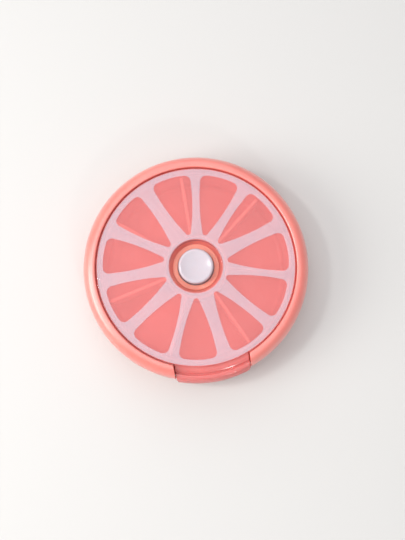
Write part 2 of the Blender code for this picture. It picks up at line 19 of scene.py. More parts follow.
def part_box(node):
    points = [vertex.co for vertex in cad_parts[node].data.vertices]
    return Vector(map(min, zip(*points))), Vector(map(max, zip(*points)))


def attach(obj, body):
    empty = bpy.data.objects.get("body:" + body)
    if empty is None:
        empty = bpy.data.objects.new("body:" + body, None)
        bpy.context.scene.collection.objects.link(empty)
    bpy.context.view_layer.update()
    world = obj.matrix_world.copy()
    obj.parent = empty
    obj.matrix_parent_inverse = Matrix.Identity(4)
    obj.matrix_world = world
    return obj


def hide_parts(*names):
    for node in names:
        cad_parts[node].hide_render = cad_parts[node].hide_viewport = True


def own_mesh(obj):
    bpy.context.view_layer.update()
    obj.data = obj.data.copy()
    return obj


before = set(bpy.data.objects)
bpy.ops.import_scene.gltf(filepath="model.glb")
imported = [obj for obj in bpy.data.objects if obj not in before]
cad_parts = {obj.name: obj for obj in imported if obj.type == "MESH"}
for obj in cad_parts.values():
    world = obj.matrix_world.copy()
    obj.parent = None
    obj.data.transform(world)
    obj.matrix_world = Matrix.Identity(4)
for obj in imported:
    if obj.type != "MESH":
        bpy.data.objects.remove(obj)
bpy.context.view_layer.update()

MM = 0.001
# Sections round a full turn.
AROUND = 192
# In metres: points closer than the first become one, and edges shorter than the second go.
WELD = 0.000003
SPECK = 0.0000005
# Edges that turn by more than this many degrees stay sharp.
SHARP_TURN = 32.0
# A height above every piece and a distance outside all of them, for cutters.
ABOVE = 40.0
OUTSIDE = 60.0
log = logging.getLogger("pill_organiser")

Point = tuple[float, float]
Range = tuple[float, float]


class Body(Enum):
    """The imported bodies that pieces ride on."""

    CASE = "case"
    WHEEL = "wheel"
    BUTTON = "button"
    ROTOR = "rotor"
    FLAP = "flap"


class Keep(Enum):
    """Which stretch of a turned section stays: the one across the outlet, or all the rest."""

    OUTLET = "outlet"
    REST = "rest"


class Cut(Enum):
    """What a Boolean does with its tool."""

    REMOVE = "DIFFERENCE"
    ADD = "UNION"


@dataclass(frozen=True)
class Span:
    """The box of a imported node, in millimetres."""

    low: Vector
    high: Vector

    @classmethod
    def of(cls, node: str) -> "Span":
        """The box of the node with this name."""
        low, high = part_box(node)
        return cls(low / MM, high / MM)

    @property
    def radius(self) -> float:
        """Outer radius of a node that is turned about Z."""
        return max(self.high.x, self.high.y)


# ---------------------------------------------------------------- outlines

def polar(radius: float, angle: float) -> Point:
    """A point at a distance and an angle in radians from the axis."""
    return (radius * math.cos(angle), radius * math.sin(angle))


def circle(radius: float, count: int = AROUND, centre: Point = (0.0, 0.0)) -> list[Point]:
    """Points of a whole circle."""
    turns = [polar(radius, 2.0 * math.pi * index / count) for index in range(count)]
    return [(centre[0] + x, centre[1] + y) for x, y in turns]


def arc(centre: Point, radii: Point, start: float, end: float, count: int = 12) -> list[Point]:
    """Points of an arc of an ellipse.

    Args:
        centre: its middle.
        radii: half its width and half its height.
        start: first angle in degrees.
        end: last angle in degrees.
        count: how many chords the arc has.

    Returns:
        The points, both ends included.
    """
    angles = [math.radians(start + (end - start) * index / count) for index in range(count + 1)]
    return [(centre[0] + radii[0] * math.cos(a), centre[1] + radii[1] * math.sin(a)) for a in angles]


def rounded(corners: Sequence[tuple], closed: bool = True, chord: float = 10.0) -> list[Point]:
    """Replace the corners of an outline by fillets.

    Args:
        corners: (x, y), or (x, y, fillet radius), in order.
        closed: whether the last corner joins the first.
        chord: the turn of each chord of a fillet, in degrees.

    Returns:
        The points of the outline.
    """
    points: list[Point] = []
    for index, corner in enumerate(corners):
        here = Vector(corner[:2])
        is_end = not closed and index in (0, len(corners) - 1)
        if len(corner) == 2 or is_end:
            points.append(tuple(here))
            continue
        before = Vector(corners[index - 1][:2]) - here
        after = Vector(corners[(index + 1) % len(corners)][:2]) - here
        half = before.angle(after) / 2.0
        reach = min(corner[2] / math.tan(half), 0.49 * min(before.length, after.length))
        before.normalize()
        after.normalize()
        centre = (before + after).normalized() * (reach / math.cos(half))
        radius = reach * math.tan(half)
        steps = max(2, math.ceil((180.0 - math.degrees(2.0 * half)) / chord))
        for step in range(steps + 1):
            spoke = (before * reach - centre).slerp(after * reach - centre, step / steps)
            points.append(tuple(here + centre + spoke * radius))
    return points


def outward(outline: Sequence[Point]) -> list[Vector]:
    """How far each point of a closed outline moves for an offset of one outwards.

    Args:
        outline: its points, in order.

    Returns:
        One shift for each point, longer at a corner.
    """
    longest, least_turn = 1.5, 0.2
    area = sum(a[0] * b[1] - b[0] * a[1] for a, b in zip(outline, [*outline[1:], outline[0]]))
    side = 1.0 if area > 0.0 else -1.0
    result = []
    for index, point in enumerate(outline):
        here = Vector(point)
        first = (here - Vector(outline[index - 1])).normalized()
        second = (Vector(outline[(index + 1) % len(outline)]) - here).normalized()
        along = (first + second).normalized()
        mitre = min(longest, 1.0 / max(least_turn, along.dot(first)))
        result.append(Vector((along.y, -along.x)) * side * mitre)
    return result


# ---------------------------------------------------------------- meshes

def mesh_of(work: bmesh.types.BMesh, name: str) -> bpy.types.Mesh:
    """Weld a bmesh, turn its faces outwards and make it a mesh.

    Args:
        work: the bmesh, which is freed.
        name: the mesh's name.

    Returns:
        The new mesh.
    """
    bmesh.ops.remove_doubles(work, verts=work.verts, dist=WELD)
    bmesh.ops.dissolve_degenerate(work, edges=work.edges, dist=SPECK)
    bmesh.ops.recalc_face_normals(work, faces=work.faces)
    mesh = bpy.data.meshes.new(name)
    work.to_mesh(mesh)
    work.free()
    return mesh


def turned(name: str, outline: Sequence[Point], steps: int = AROUND) -> bpy.types.Mesh:
    """Turn an outline of (radius, height) about Z.

    Args:
        name: the mesh's name.
        outline: its points; the outline is open if it starts and ends on the axis, and closed otherwise.
        steps: how many sections there are round the axis.

    Returns:
        The closed mesh.
    """
    work = bmesh.new()
    chain = [work.verts.new((radius * MM, 0.0, height * MM)) for radius, height in outline]
    ring = chain if outline[0][0] == 0.0 else [*chain, chain[0]]
    edges = [work.edges.new(pair) for pair in zip(ring, ring[1:])]
    bmesh.ops.spin(work, geom=chain + edges, cent=(0.0, 0.0, 0.0), axis=(0.0, 0.0, 1.0),
                   angle=2.0 * math.pi, steps=steps, use_merge=True)
    return mesh_of(work, name)


def hoop(name: str, span: Span, outer: float, inner: float, edges: Sequence[float],
         steps: int = AROUND) -> bpy.types.Mesh:
    """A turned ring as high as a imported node.

    Args:
        name: the mesh's name.
        span: the node's box.
        outer: its outer radius.
        inner: its inner radius.
        edges: fillets of its outer upper, outer lower, inner lower and inner upper edge.
        steps: how many sections there are round the axis.

    Returns:
        The closed mesh.
    """
    low, high = span.low.z, span.high.z
    corners = ((outer, high), (outer, low), (inner, low), (inner, high))
    return turned(name, rounded([(*corner, edge) for corner, edge in zip(corners, edges)]), steps)


def skinned(name: str, work: bmesh.types.BMesh,
            rows: Sequence[Sequence[bmesh.types.BMVert]]) -> bpy.types.Mesh:
    """Join closed rows of points by faces and close both ends.

    Args:
        name: the mesh's name.
        work: bmesh that holds the points.
        rows: the points, with the same number in each row.

    Returns:
        The closed mesh.
    """
    for first, second in zip(rows, rows[1:]):
        for index in range(len(first)):
            after = (index + 1) % len(first)
            work.faces.new((first[index], first[after], second[after], second[index]))
    work.faces.new(rows[0])
    work.faces.new(rows[-1])
    return mesh_of(work, name)


def swept(name: str, outline: Sequence[Point], half_width: float, keep: Keep, edge: float,
          steps: int) -> bpy.types.Mesh:
    """Turn a closed outline part of the way round, between two upright planes beside the outlet.

    Args:
        name: the mesh's name.
        outline: points of (radius, height).
        half_width: distance of each plane from the middle of the outlet.
        keep: which side of the planes stays.
        edge: radius that the two ends are rounded over by.
        steps: how many sections lie between the ends.

    Returns:
        The closed mesh.
    """
    side = -1.0 if keep is Keep.OUTLET else 1.0
    bend_steps = 6
    bends = [0.5 * math.pi * step / bend_steps for step in range(bend_steps + 1)]
    rims = [(edge * (1.0 - math.cos(bend)), edge * (1.0 - math.sin(bend))) for bend in bends]
    places = [(0.0, *rim) for rim in rims]
    places += [(step / steps, edge, 0.0) for step in range(1, steps)]
    places += [(1.0, *rim) for rim in reversed(rims)]
    work = bmesh.new()
    rows = []
    for share, depth, inset in places:
        row = []
        for (radius, height), away in zip(outline, outward(outline)):
            radius, height = radius - inset * away.x, height - inset * away.y
            open_half = math.asin((half_width + side * depth) / radius)
            start = -0.5 * math.pi + side * open_half
            sweep = 2.0 * open_half if keep is Keep.OUTLET else 2.0 * math.pi - 2.0 * open_half
            x, y = polar(radius, start + share * sweep)
            row.append(work.verts.new((x * MM, y * MM, height * MM)))
        rows.append(row)
    return skinned(name, work, rows)


def plate(name: str, outlines: Sequence[Sequence[Point]], low: float, high: float,
          edge: float = 0.0) -> bpy.types.Mesh:
    """A flat plate with rounded edges.

    Args:
        name: the mesh's name.
        outlines: closed outlines of (x, y); those inside another are holes.
        low: height of its lower face.
        high: height of its upper face.
        edge: radius of its edges.

    Returns:
        The closed mesh.
    """
    curve = bpy.data.curves.new(name, "CURVE")
    curve.dimensions = "2D"
    curve.fill_mode = "BOTH"
    curve.extrude = (0.5 * (high - low) - edge) * MM
    curve.bevel_depth = edge * MM
    curve.bevel_resolution = 2
    curve.offset = -edge * MM
    for outline in outlines:
        spline = curve.splines.new("POLY")
        spline.points.add(len(outline) - 1)
        for point, (x, y) in zip(spline.points, outline):
            point.co = (x * MM, y * MM, 0.0, 1.0)
        spline.use_cyclic_u = True
    mesh = evaluated(name, curve)
    mesh.transform(Matrix.Translation((0.0, 0.0, 0.5 * (low + high) * MM)))
    return mesh


def outlet_block(name: str, half: float, low: float, high: float) -> bpy.types.Mesh:
    """A block across the outlet, from well inside the bowl to outside the case."""
    start = 0.5 * OUTSIDE
    return plate(name, [[(-half, -OUTSIDE), (half, -OUTSIDE), (half, -start), (-half, -start)]], low, high)


def evaluated(name: str, data: bpy.types.ID, *booleans: tuple[bpy.types.Mesh, Cut]) -> bpy.types.Mesh:
    """The mesh that a curve or a mesh becomes once Booleans have been applied to it.

    Args:
        name: name of the mesh.
        data: curve or mesh to start from.
        booleans: tools and what each of them does, in order.

    Returns:
        The evaluated mesh.
    """
    guide = bpy.data.objects.new(name + "_guide", data)
    bpy.context.scene.collection.objects.link(guide)
    helpers = [guide]
    for tool_mesh, cut in booleans:
        tool = bpy.data.objects.new(name + "_tool", tool_mesh)
        bpy.context.scene.collection.objects.link(tool)
        helpers.append(tool)
        modifier = guide.modifiers.new(cut.value, "BOOLEAN")
        modifier.operation = cut.value
        modifier.solver = "EXACT"
        modifier.object = tool
    depsgraph = bpy.context.evaluated_depsgraph_get()
    work = bmesh.new()
    result = bpy.data.meshes.new_from_object(guide.evaluated_get(depsgraph))
    work.from_mesh(result)
    bpy.data.meshes.remove(result)
    for helper in helpers:
        bpy.data.objects.remove(helper, do_unlink=True)
    return mesh_of(work, name)


def joined(name: str, meshes: Sequence[bpy.types.Mesh]) -> bpy.types.Mesh:
    """Several meshes as one, with nothing welded between them.

    Args:
        name: the mesh's name.
        meshes: the meshes to join.

    Returns:
        The new mesh.
    """
    work = bmesh.new()
    for mesh in meshes:
        work.from_mesh(mesh)
    mesh = bpy.data.meshes.new(name)
    work.to_mesh(mesh)
    work.free()
    return mesh


def moved(mesh: bpy.types.Mesh, matrix: Matrix) -> bpy.types.Mesh:
    """The same mesh after a transform whose shifts are in millimetres.

    Args:
        mesh: the mesh, which is changed.
        matrix: the transform.

    Returns:
        The mesh.
    """
    metres = matrix.copy()
    metres.translation = matrix.translation * MM
    mesh.transform(metres)
    return mesh


def lofted(name: str, section: Sequence[Point], low: float, high: float, twist: float) -> bpy.types.Mesh:
    """A bar with one section all along, which turns as it rises.

    Args:
        name: the mesh's name.
        section: closed outline of (x, y).
        low: height of its lower end.
        high: height of its upper end.
        twist: turn in radians for each millimetre of height.

    Returns:
        The closed mesh.
    """
    chord = 3.0
    steps = max(1, math.ceil(math.degrees(twist * (high - low)) / chord))
    work = bmesh.new()
    rows = []
    for step in range(steps + 1):
        height = low + (high - low) * step / steps
        turn = Matrix.Rotation(twist * (height - low), 2)
        corners = [turn @ Vector(point) * MM for point in section]
        rows.append([work.verts.new((*corner, height * MM)) for corner in corners])
    return skinned(name, work, rows)


# ---------------------------------------------------------------- finishes

def linear(code: str) -> tuple[float, float, float, float]:
    """An sRGB hex colour as linear light with full opacity.

    Args:
        code: a hash sign and six hex digits.

    Returns:
        Its red, green, blue and opacity.
    """
    shares = [int(code[start:start + 2], 16) / 255.0 for start in (1, 3, 5)]
    light = [s / 12.92 if s <= 0.04045 else ((s + 0.055) / 1.055) ** 2.4 for s in shares]
    return (*light, 1.0)


def add(tree: bpy.types.NodeTree, kind: str, settings: dict | None = None,
        links: dict | None = None) -> bpy.types.Node:
    """Add one shader node.

    Args:
        tree: node tree that takes the node.
        kind: Blender's type of the node, without ShaderNode.
        settings: its properties, and values of its inputs by name or number.
        links: outputs to join to its inputs, by input name or number; a node gives its first output.

    Returns:
        The new node.
    """
    node = tree.nodes.new("ShaderNode" + kind)
    for name, value in (settings or {}).items():
        if isinstance(name, str) and hasattr(node, name):
            setattr(node, name, value)
        else:
            node.inputs[name].default_value = value
    for name, source in (links or {}).items():
        output = source.outputs[0] if isinstance(source, bpy.types.Node) else source
        tree.links.new(output, node.inputs[name])
    return node


class Finish(ABC):
    """A material with a name, made once and shared by the pieces that have it."""

    name: str

    @abstractmethod
    def surface(self, tree: bpy.types.NodeTree) -> bpy.types.Node:
        """Add the nodes of the surface and return the one that ends them."""

    def material(self) -> bpy.types.Material:
        """The material, made at its first use.

        Returns:
            The material with its nodes.
        """
        known = bpy.data.materials.get(self.name)
        if known is not None:
            return known
        material = bpy.data.materials.new(self.name)
        material.use_nodes = True
        tree = material.node_tree
        tree.nodes.clear()
        add(tree, "OutputMaterial", links={"Surface": self.surface(tree)})
        return material

    def pattern(self, tree: bpy.types.NodeTree, size: float, detail: float = 3.0,
                spread: Range = (0.35, 0.65)) -> bpy.types.Node:
        """Soft irregular patches in the piece's own coordinates.

        Args:
            tree: node tree that takes the nodes.
            size: width of a patch in millimetres.
            detail: how many finer layers it has.
            spread: the noise values that become 0 and 1.

        Returns:
            A node whose value runs from 0 to 1.
        """
        place = add(tree, "TexCoord").outputs["Object"]
        noise = add(tree, "TexNoise", {"Scale": 1.0 / (size * MM), "Detail": detail}, {"Vector": place})
        return add(tree, "MapRange", {"From Min": spread[0], "From Max": spread[1]},
                   {"Value": noise.outputs["Fac"]})

    def mirror_share(self, tree: bpy.types.NodeTree, straight: float) -> bpy.types.Node:
        """The share of light that a thin sheet mirrors, which grows towards grazing angles.

        Args:
            tree: node tree that takes the nodes.
            straight: the share seen straight on.

        Returns:
            A node whose value runs from that share to 1.
        """
        facing = add(tree, "LayerWeight", {"Blend": 0.5}).outputs["Facing"]
        steep = add(tree, "Math", {"operation": "POWER", 1: 5.0}, {0: facing})
        return add(tree, "MapRange", {"To Min": straight, "To Max": 1.0}, {"Value": steep})


@dataclass(frozen=True)
class MouldedPlastic(Finish):
    """Opaque plastic from a polished or finely eroded mould: even, softly shiny, light sinks in a little.

    Sizes are in millimetres: the mould's grain and its depth, the patches of the melt's flow and of
    handling, and how deep the light sinks. The skin is a thin second sheen that pales the edges.
    """

    name: str
    light: str
    deep: str
    roughness: Range
    grain: float
    grain_depth: float
    glow: float
    skin: float = 0.0
    flow: float = 14.0
    touch: float = 6.0
    sink: float = 1.4
    ior: float = 1.54
    skin_roughness: float = 0.34
    skin_ior: float = 1.8

    def surface(self, tree: bpy.types.NodeTree) -> bpy.types.Node:
        """Faint flow patches in the colour, an uneven sheen from handling and the mould's fine grain.

        Args:
            tree: node tree that takes the nodes.

        Returns:
            The shader node that ends them.
        """
        colours = {"data_type": "RGBA", 6: linear(self.light), 7: linear(self.deep)}
        low, high = self.roughness
        fine = self.pattern(tree, self.grain, 1.0, (0.2, 0.8))
        return add(tree, "BsdfPrincipled", {
            "IOR": self.ior, "Subsurface Weight": self.glow, "Subsurface Radius": (1.0, 0.42, 0.34),
            "Subsurface Scale": self.sink * MM, "Coat Weight": self.skin,
            "Coat Roughness": self.skin_roughness, "Coat IOR": self.skin_ior,
        }, {
            "Base Color": add(tree, "Mix", colours, {0: self.pattern(tree, self.flow)}).outputs[2],
            "Roughness": add(tree, "MapRange", {"To Min": low, "To Max": high},
                             {"Value": self.pattern(tree, self.touch, 4.0)}),
            "Normal": add(tree, "Bump", {"Strength": 0.35, "Distance": self.grain_depth * MM},
                          {"Height": fine}),
        })


@dataclass(frozen=True)
class MilkyPolystyrene(Finish):
    """Lightly dyed polystyrene from a polished mould: a glossy sheet that veils what lies below a little.

    The polish is its roughness where it is clean and where it is scratched.
    """

    name: str
    tint: str
    milk: str
    veil: Range
    flow: float = 11.0
    scratch: float = 0.5
    polish: Range = (0.05, 0.3)
    mirror: float = 0.04

    def scratches(self, tree: bpy.types.NodeTree) -> bpy.types.Node:
        """Long thin scratches in two directions, drawn 0.5 mm wide so that they show.

        Args:
            tree: node tree that takes the nodes.

        Returns:
            A node whose value is 1 on a scratch and 0 beside it.
        """
        sets = []
        for turn in (0.6, 2.3):
            place = add(tree, "Mapping", {"Rotation": (0.0, 0.0, turn), "Scale": (1.0, 0.03, 1.0)},
                        {"Vector": add(tree, "TexCoord").outputs["Object"]})
            lines = add(tree, "TexNoise", {"Scale": 1.0 / (self.scratch * MM), "Detail": 1.0},
                        {"Vector": place})
            sets.append(add(tree, "MapRange", {"From Min": 0.70, "From Max": 0.78},
                            {"Value": lines.outputs["Fac"]}))
        return add(tree, "Math", {"operation": "MAXIMUM"}, {0: sets[0], 1: sets[1]})

    def surface(self, tree: bpy.types.NodeTree) -> bpy.types.Node:
        """A sheet that mirrors a little, veils a little more in broad patches and has hairline scratches.

        Args:
            tree: node tree that takes the nodes.

        Returns:
            The shader node that ends them.
        """
        (low, high), (clean, scratched) = self.veil, self.polish
        gloss = add(tree, "BsdfGlossy", {"Color": (1.0, 1.0, 1.0, 1.0)}, {
            "Roughness": add(tree, "MapRange", {"To Min": clean, "To Max": scratched},
                             {"Value": self.scratches(tree)})})
        veil = add(tree, "MapRange", {"To Min": low, "To Max": high},
                   {"Value": self.pattern(tree, self.flow, 4.0, (0.3, 0.75))})
        body = add(tree, "MixShader", {}, {
            0: veil, 1: add(tree, "BsdfTransparent", {"Color": linear(self.tint)}),
            2: add(tree, "BsdfDiffuse", {"Color": linear(self.milk)})})
        return add(tree, "MixShader", {}, {0: self.mirror_share(tree, self.mirror), 1: body, 2: gloss})


@dataclass(frozen=True)
class TintedPolystyrene(Finish):
    """Dyed translucent polystyrene from a polished mould: light passes and scatters under a glossy skin."""

    name: str
    light: str
    deep: str
    tint: str
    open_share: float
    roughness: Range
    flow: float = 8.0
    touch: float = 3.0
    glow: float = 0.5
    sink: float = 2.5
    ior: float = 1.59

    def surface(self, tree: bpy.types.NodeTree) -> bpy.types.Node:
        """A milky dyed body under a glossy skin, part of which lets the view through.

        Args:
            tree: node tree that takes the nodes.

        Returns:
            The shader node that ends them.
        """
        colours = {"data_type": "RGBA", 6: linear(self.light), 7: linear(self.deep)}
        low, high = self.roughness
        body = add(tree, "BsdfPrincipled", {
            "IOR": self.ior, "Subsurface Weight": self.glow, "Subsurface Radius": (1.0, 0.4, 0.35),
            "Subsurface Scale": self.sink * MM,
        }, {
            "Base Color": add(tree, "Mix", colours, {0: self.pattern(tree, self.flow)}).outputs[2],
            "Roughness": add(tree, "MapRange", {"To Min": low, "To Max": high},
                             {"Value": self.pattern(tree, self.touch, 4.0)}),
        })
        clear = add(tree, "BsdfTransparent", {"Color": linear(self.tint)})
        return add(tree, "MixShader", {}, {
            0: self.mirror_share(tree, 1.0 - self.open_share), 1: clear, 2: body})


@dataclass(frozen=True)
class ScreenInk(Finish):
    """One pass of screen-printed ink: thin and see-through, uneven, with the mesh's fine speckle."""

    name: str
    light: str
    deep: str
    cover: Range
    mesh_pitch: float
    flow: float = 7.0
    speck_share: float = 0.45
    roughness: float = 0.42
    ior: float = 1.49

    def surface(self, tree: bpy.types.NodeTree) -> bpy.types.Node:
        """Ink whose cover varies in broad patches and in specks of the screen's pitch.

        Args:
            tree: node tree that takes the nodes.

        Returns:
            The shader node that ends them.
        """
        colours = {"data_type": "RGBA", 6: linear(self.light), 7: linear(self.deep)}
        low, high = self.cover
        patches = self.pattern(tree, self.flow, 4.0)
        specks = self.pattern(tree, self.mesh_pitch, 2.0, (0.3, 0.7))
        uneven = add(tree, "Mix", {"data_type": "FLOAT", 0: self.speck_share}, {2: patches, 3: specks})
        ink = add(tree, "BsdfPrincipled", {"Roughness": self.roughness, "IOR": self.ior},
                  {"Base Color": add(tree, "Mix", colours, {0: patches}).outputs[2]})
        return add(tree, "MixShader", {}, {
            0: add(tree, "MapRange", {"To Min": low, "To Max": high}, {"Value": uneven}),
            1: add(tree, "BsdfTransparent", {"Color": (1.0, 1.0, 1.0, 1.0)}), 2: ink})


@dataclass(frozen=True)
class DrawnSteel(Finish):
    """Drawn or plated steel: bright, with fine lines and a few dull patches."""

    name: str
    light: str
    deep: str
    roughness: Range
    dull: float = 1.2
    # Real drawing lines are finer; these are as coarse as they need to be to show.
    line: float = 0.15
    line_depth: float = 0.01

    def surface(self, tree: bpy.types.NodeTree) -> bpy.types.Node:
        """Metal with dull patches and a fine unevenness from drawing.

        Args:
            tree: node tree that takes the nodes.

        Returns:
            The shader node that ends them.
        """
        colours = {"data_type": "RGBA", 6: linear(self.light), 7: linear(self.deep)}
        low, high = self.roughness
        dull = self.pattern(tree, self.dull, 4.0)
        lines = self.pattern(tree, self.line, 1.0, (0.2, 0.8))
        return add(tree, "BsdfPrincipled", {"Metallic": 1.0}, {
            "Base Color": add(tree, "Mix", colours, {0: dull}).outputs[2],
            "Roughness": add(tree, "MapRange", {"To Min": low, "To Max": high}, {"Value": dull}),
            "Normal": add(tree, "Bump", {"Strength": 0.2, "Distance": self.line_depth * MM},
                          {"Height": lines}),
        })


# Pink ABS, moulded with a fine grain: satin, with long soft highlights and paler edges.
CASE_ABS = MouldedPlastic("salmon_moulded_abs", "#E97C70", "#E47469", (0.36, 0.46), grain=0.35,
                          grain_depth=0.02, glow=0.3, skin=1.0)
# White ABS from a polished mould: smooth, with one small clear highlight in the dish.
BUTTON_ABS = MouldedPlastic("white_moulded_abs", "#C4B9C1", "#BDB2BA", (0.16, 0.24), grain=1.2,
                            grain_depth=0.01, glow=0.15)
# Lightly dyed clear polystyrene, moulded: the vanes below show through a thin pink haze.
LID_MILKY = MilkyPolystyrene("salmon_clear_polystyrene", "#FFE8E5", "#FB9090", (0.28, 0.34))
# Dyed polystyrene, moulded: pale and cloudy, so that the vanes stand out from the bowl.
WHEEL_TINT = TintedPolystyrene("salmon_tinted_polystyrene", "#FFD2CA", "#FFC8BF", "#F6B5AA",
                               open_share=0.06, roughness=(0.16, 0.28))
# The same polystyrene where the well's floor rings the button: a deeper orange pink under a high gloss.
WELL_TINT = TintedPolystyrene("well_tinted_polystyrene", "#FCA08B", "#F89883", "#F2A093", open_share=0.06,
                              roughness=(0.07, 0.13))
# Dyed polystyrene, moulded: about a third of the view passes, with a sharp highlight on the flap's brow.
FLAP_TINT = TintedPolystyrene("flap_tinted_polystyrene", "#F08E8B", "#EB8683", "#F9B8B1", open_share=0.36,
                              roughness=(0.08, 0.16))
# White screen-print ink in one thin pass: the pink below turns it to a pale mauve.
PRINT_INK = ScreenInk("white_screen_ink", "#E6DDE8", "#DED5E1", (0.25, 0.32), mesh_pitch=0.45)
# Natural acetal, moulded: waxy off-white, light sinks well in.
ACETAL = MouldedPlastic("natural_moulded_acetal", "#EFEDE4", "#E6E3D8", (0.3, 0.42), grain=0.6,
                        grain_depth=0.01, glow=0.4)
# Dyed acetal, moulded: waxy pink.
TOOTH_ACETAL = MouldedPlastic("salmon_moulded_acetal", "#F2988B", "#EC8E80", (0.3, 0.42), grain=0.6,
                              grain_depth=0.01, glow=0.4)
# Silicone, moulded: dull and soft-looking.
SILICONE = MouldedPlastic("moulded_silicone", "#F0A79D", "#E89A90", (0.5, 0.62), grain=0.8,
                          grain_depth=0.02, glow=0.5)
# Drawn spring steel: bright cool grey.
SPRING_STEEL = DrawnSteel("drawn_spring_steel", "#C9CACD", "#A9ABAF", (0.22, 0.4))
# Zinc-plated steel: paler and a little duller.
ZINC_STEEL = DrawnSteel("zinc_plated_steel", "#D3D4D2", "#B4B7B8", (0.26, 0.45))


# ---------------------------------------------------------------- placing pieces

def stand_in(mesh: bpy.types.Mesh, body: Body, slot: str, finish: Finish, *nodes: str) -> bpy.types.Object:
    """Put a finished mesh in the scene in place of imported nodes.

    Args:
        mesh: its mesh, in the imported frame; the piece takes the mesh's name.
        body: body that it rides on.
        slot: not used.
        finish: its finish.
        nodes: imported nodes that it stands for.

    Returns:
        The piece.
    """
    mesh.materials.clear()
    mesh.materials.append(finish.material())
    mesh.shade_smooth()
    mesh.set_sharp_from_angle(angle=math.radians(SHARP_TURN))
    piece = bpy.data.objects.new(mesh.name, mesh)
    bpy.context.scene.collection.objects.link(piece)
    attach(piece, body.value)
    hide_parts(*nodes)
    log.info("%s: %d faces, %s, rides on %s", piece.name, len(mesh.polygons), finish.name, body.value)
    return piece


class SubAssembly(ABC):
    """A group of pieces that are built together and then dressed."""

    @abstractmethod
    def build(self) -> None:
        """Make the meshes."""

    @abstractmethod
    def dress(self) -> None:
        """Put the meshes in the scene with their finishes."""


# ---------------------------------------------------------------- case

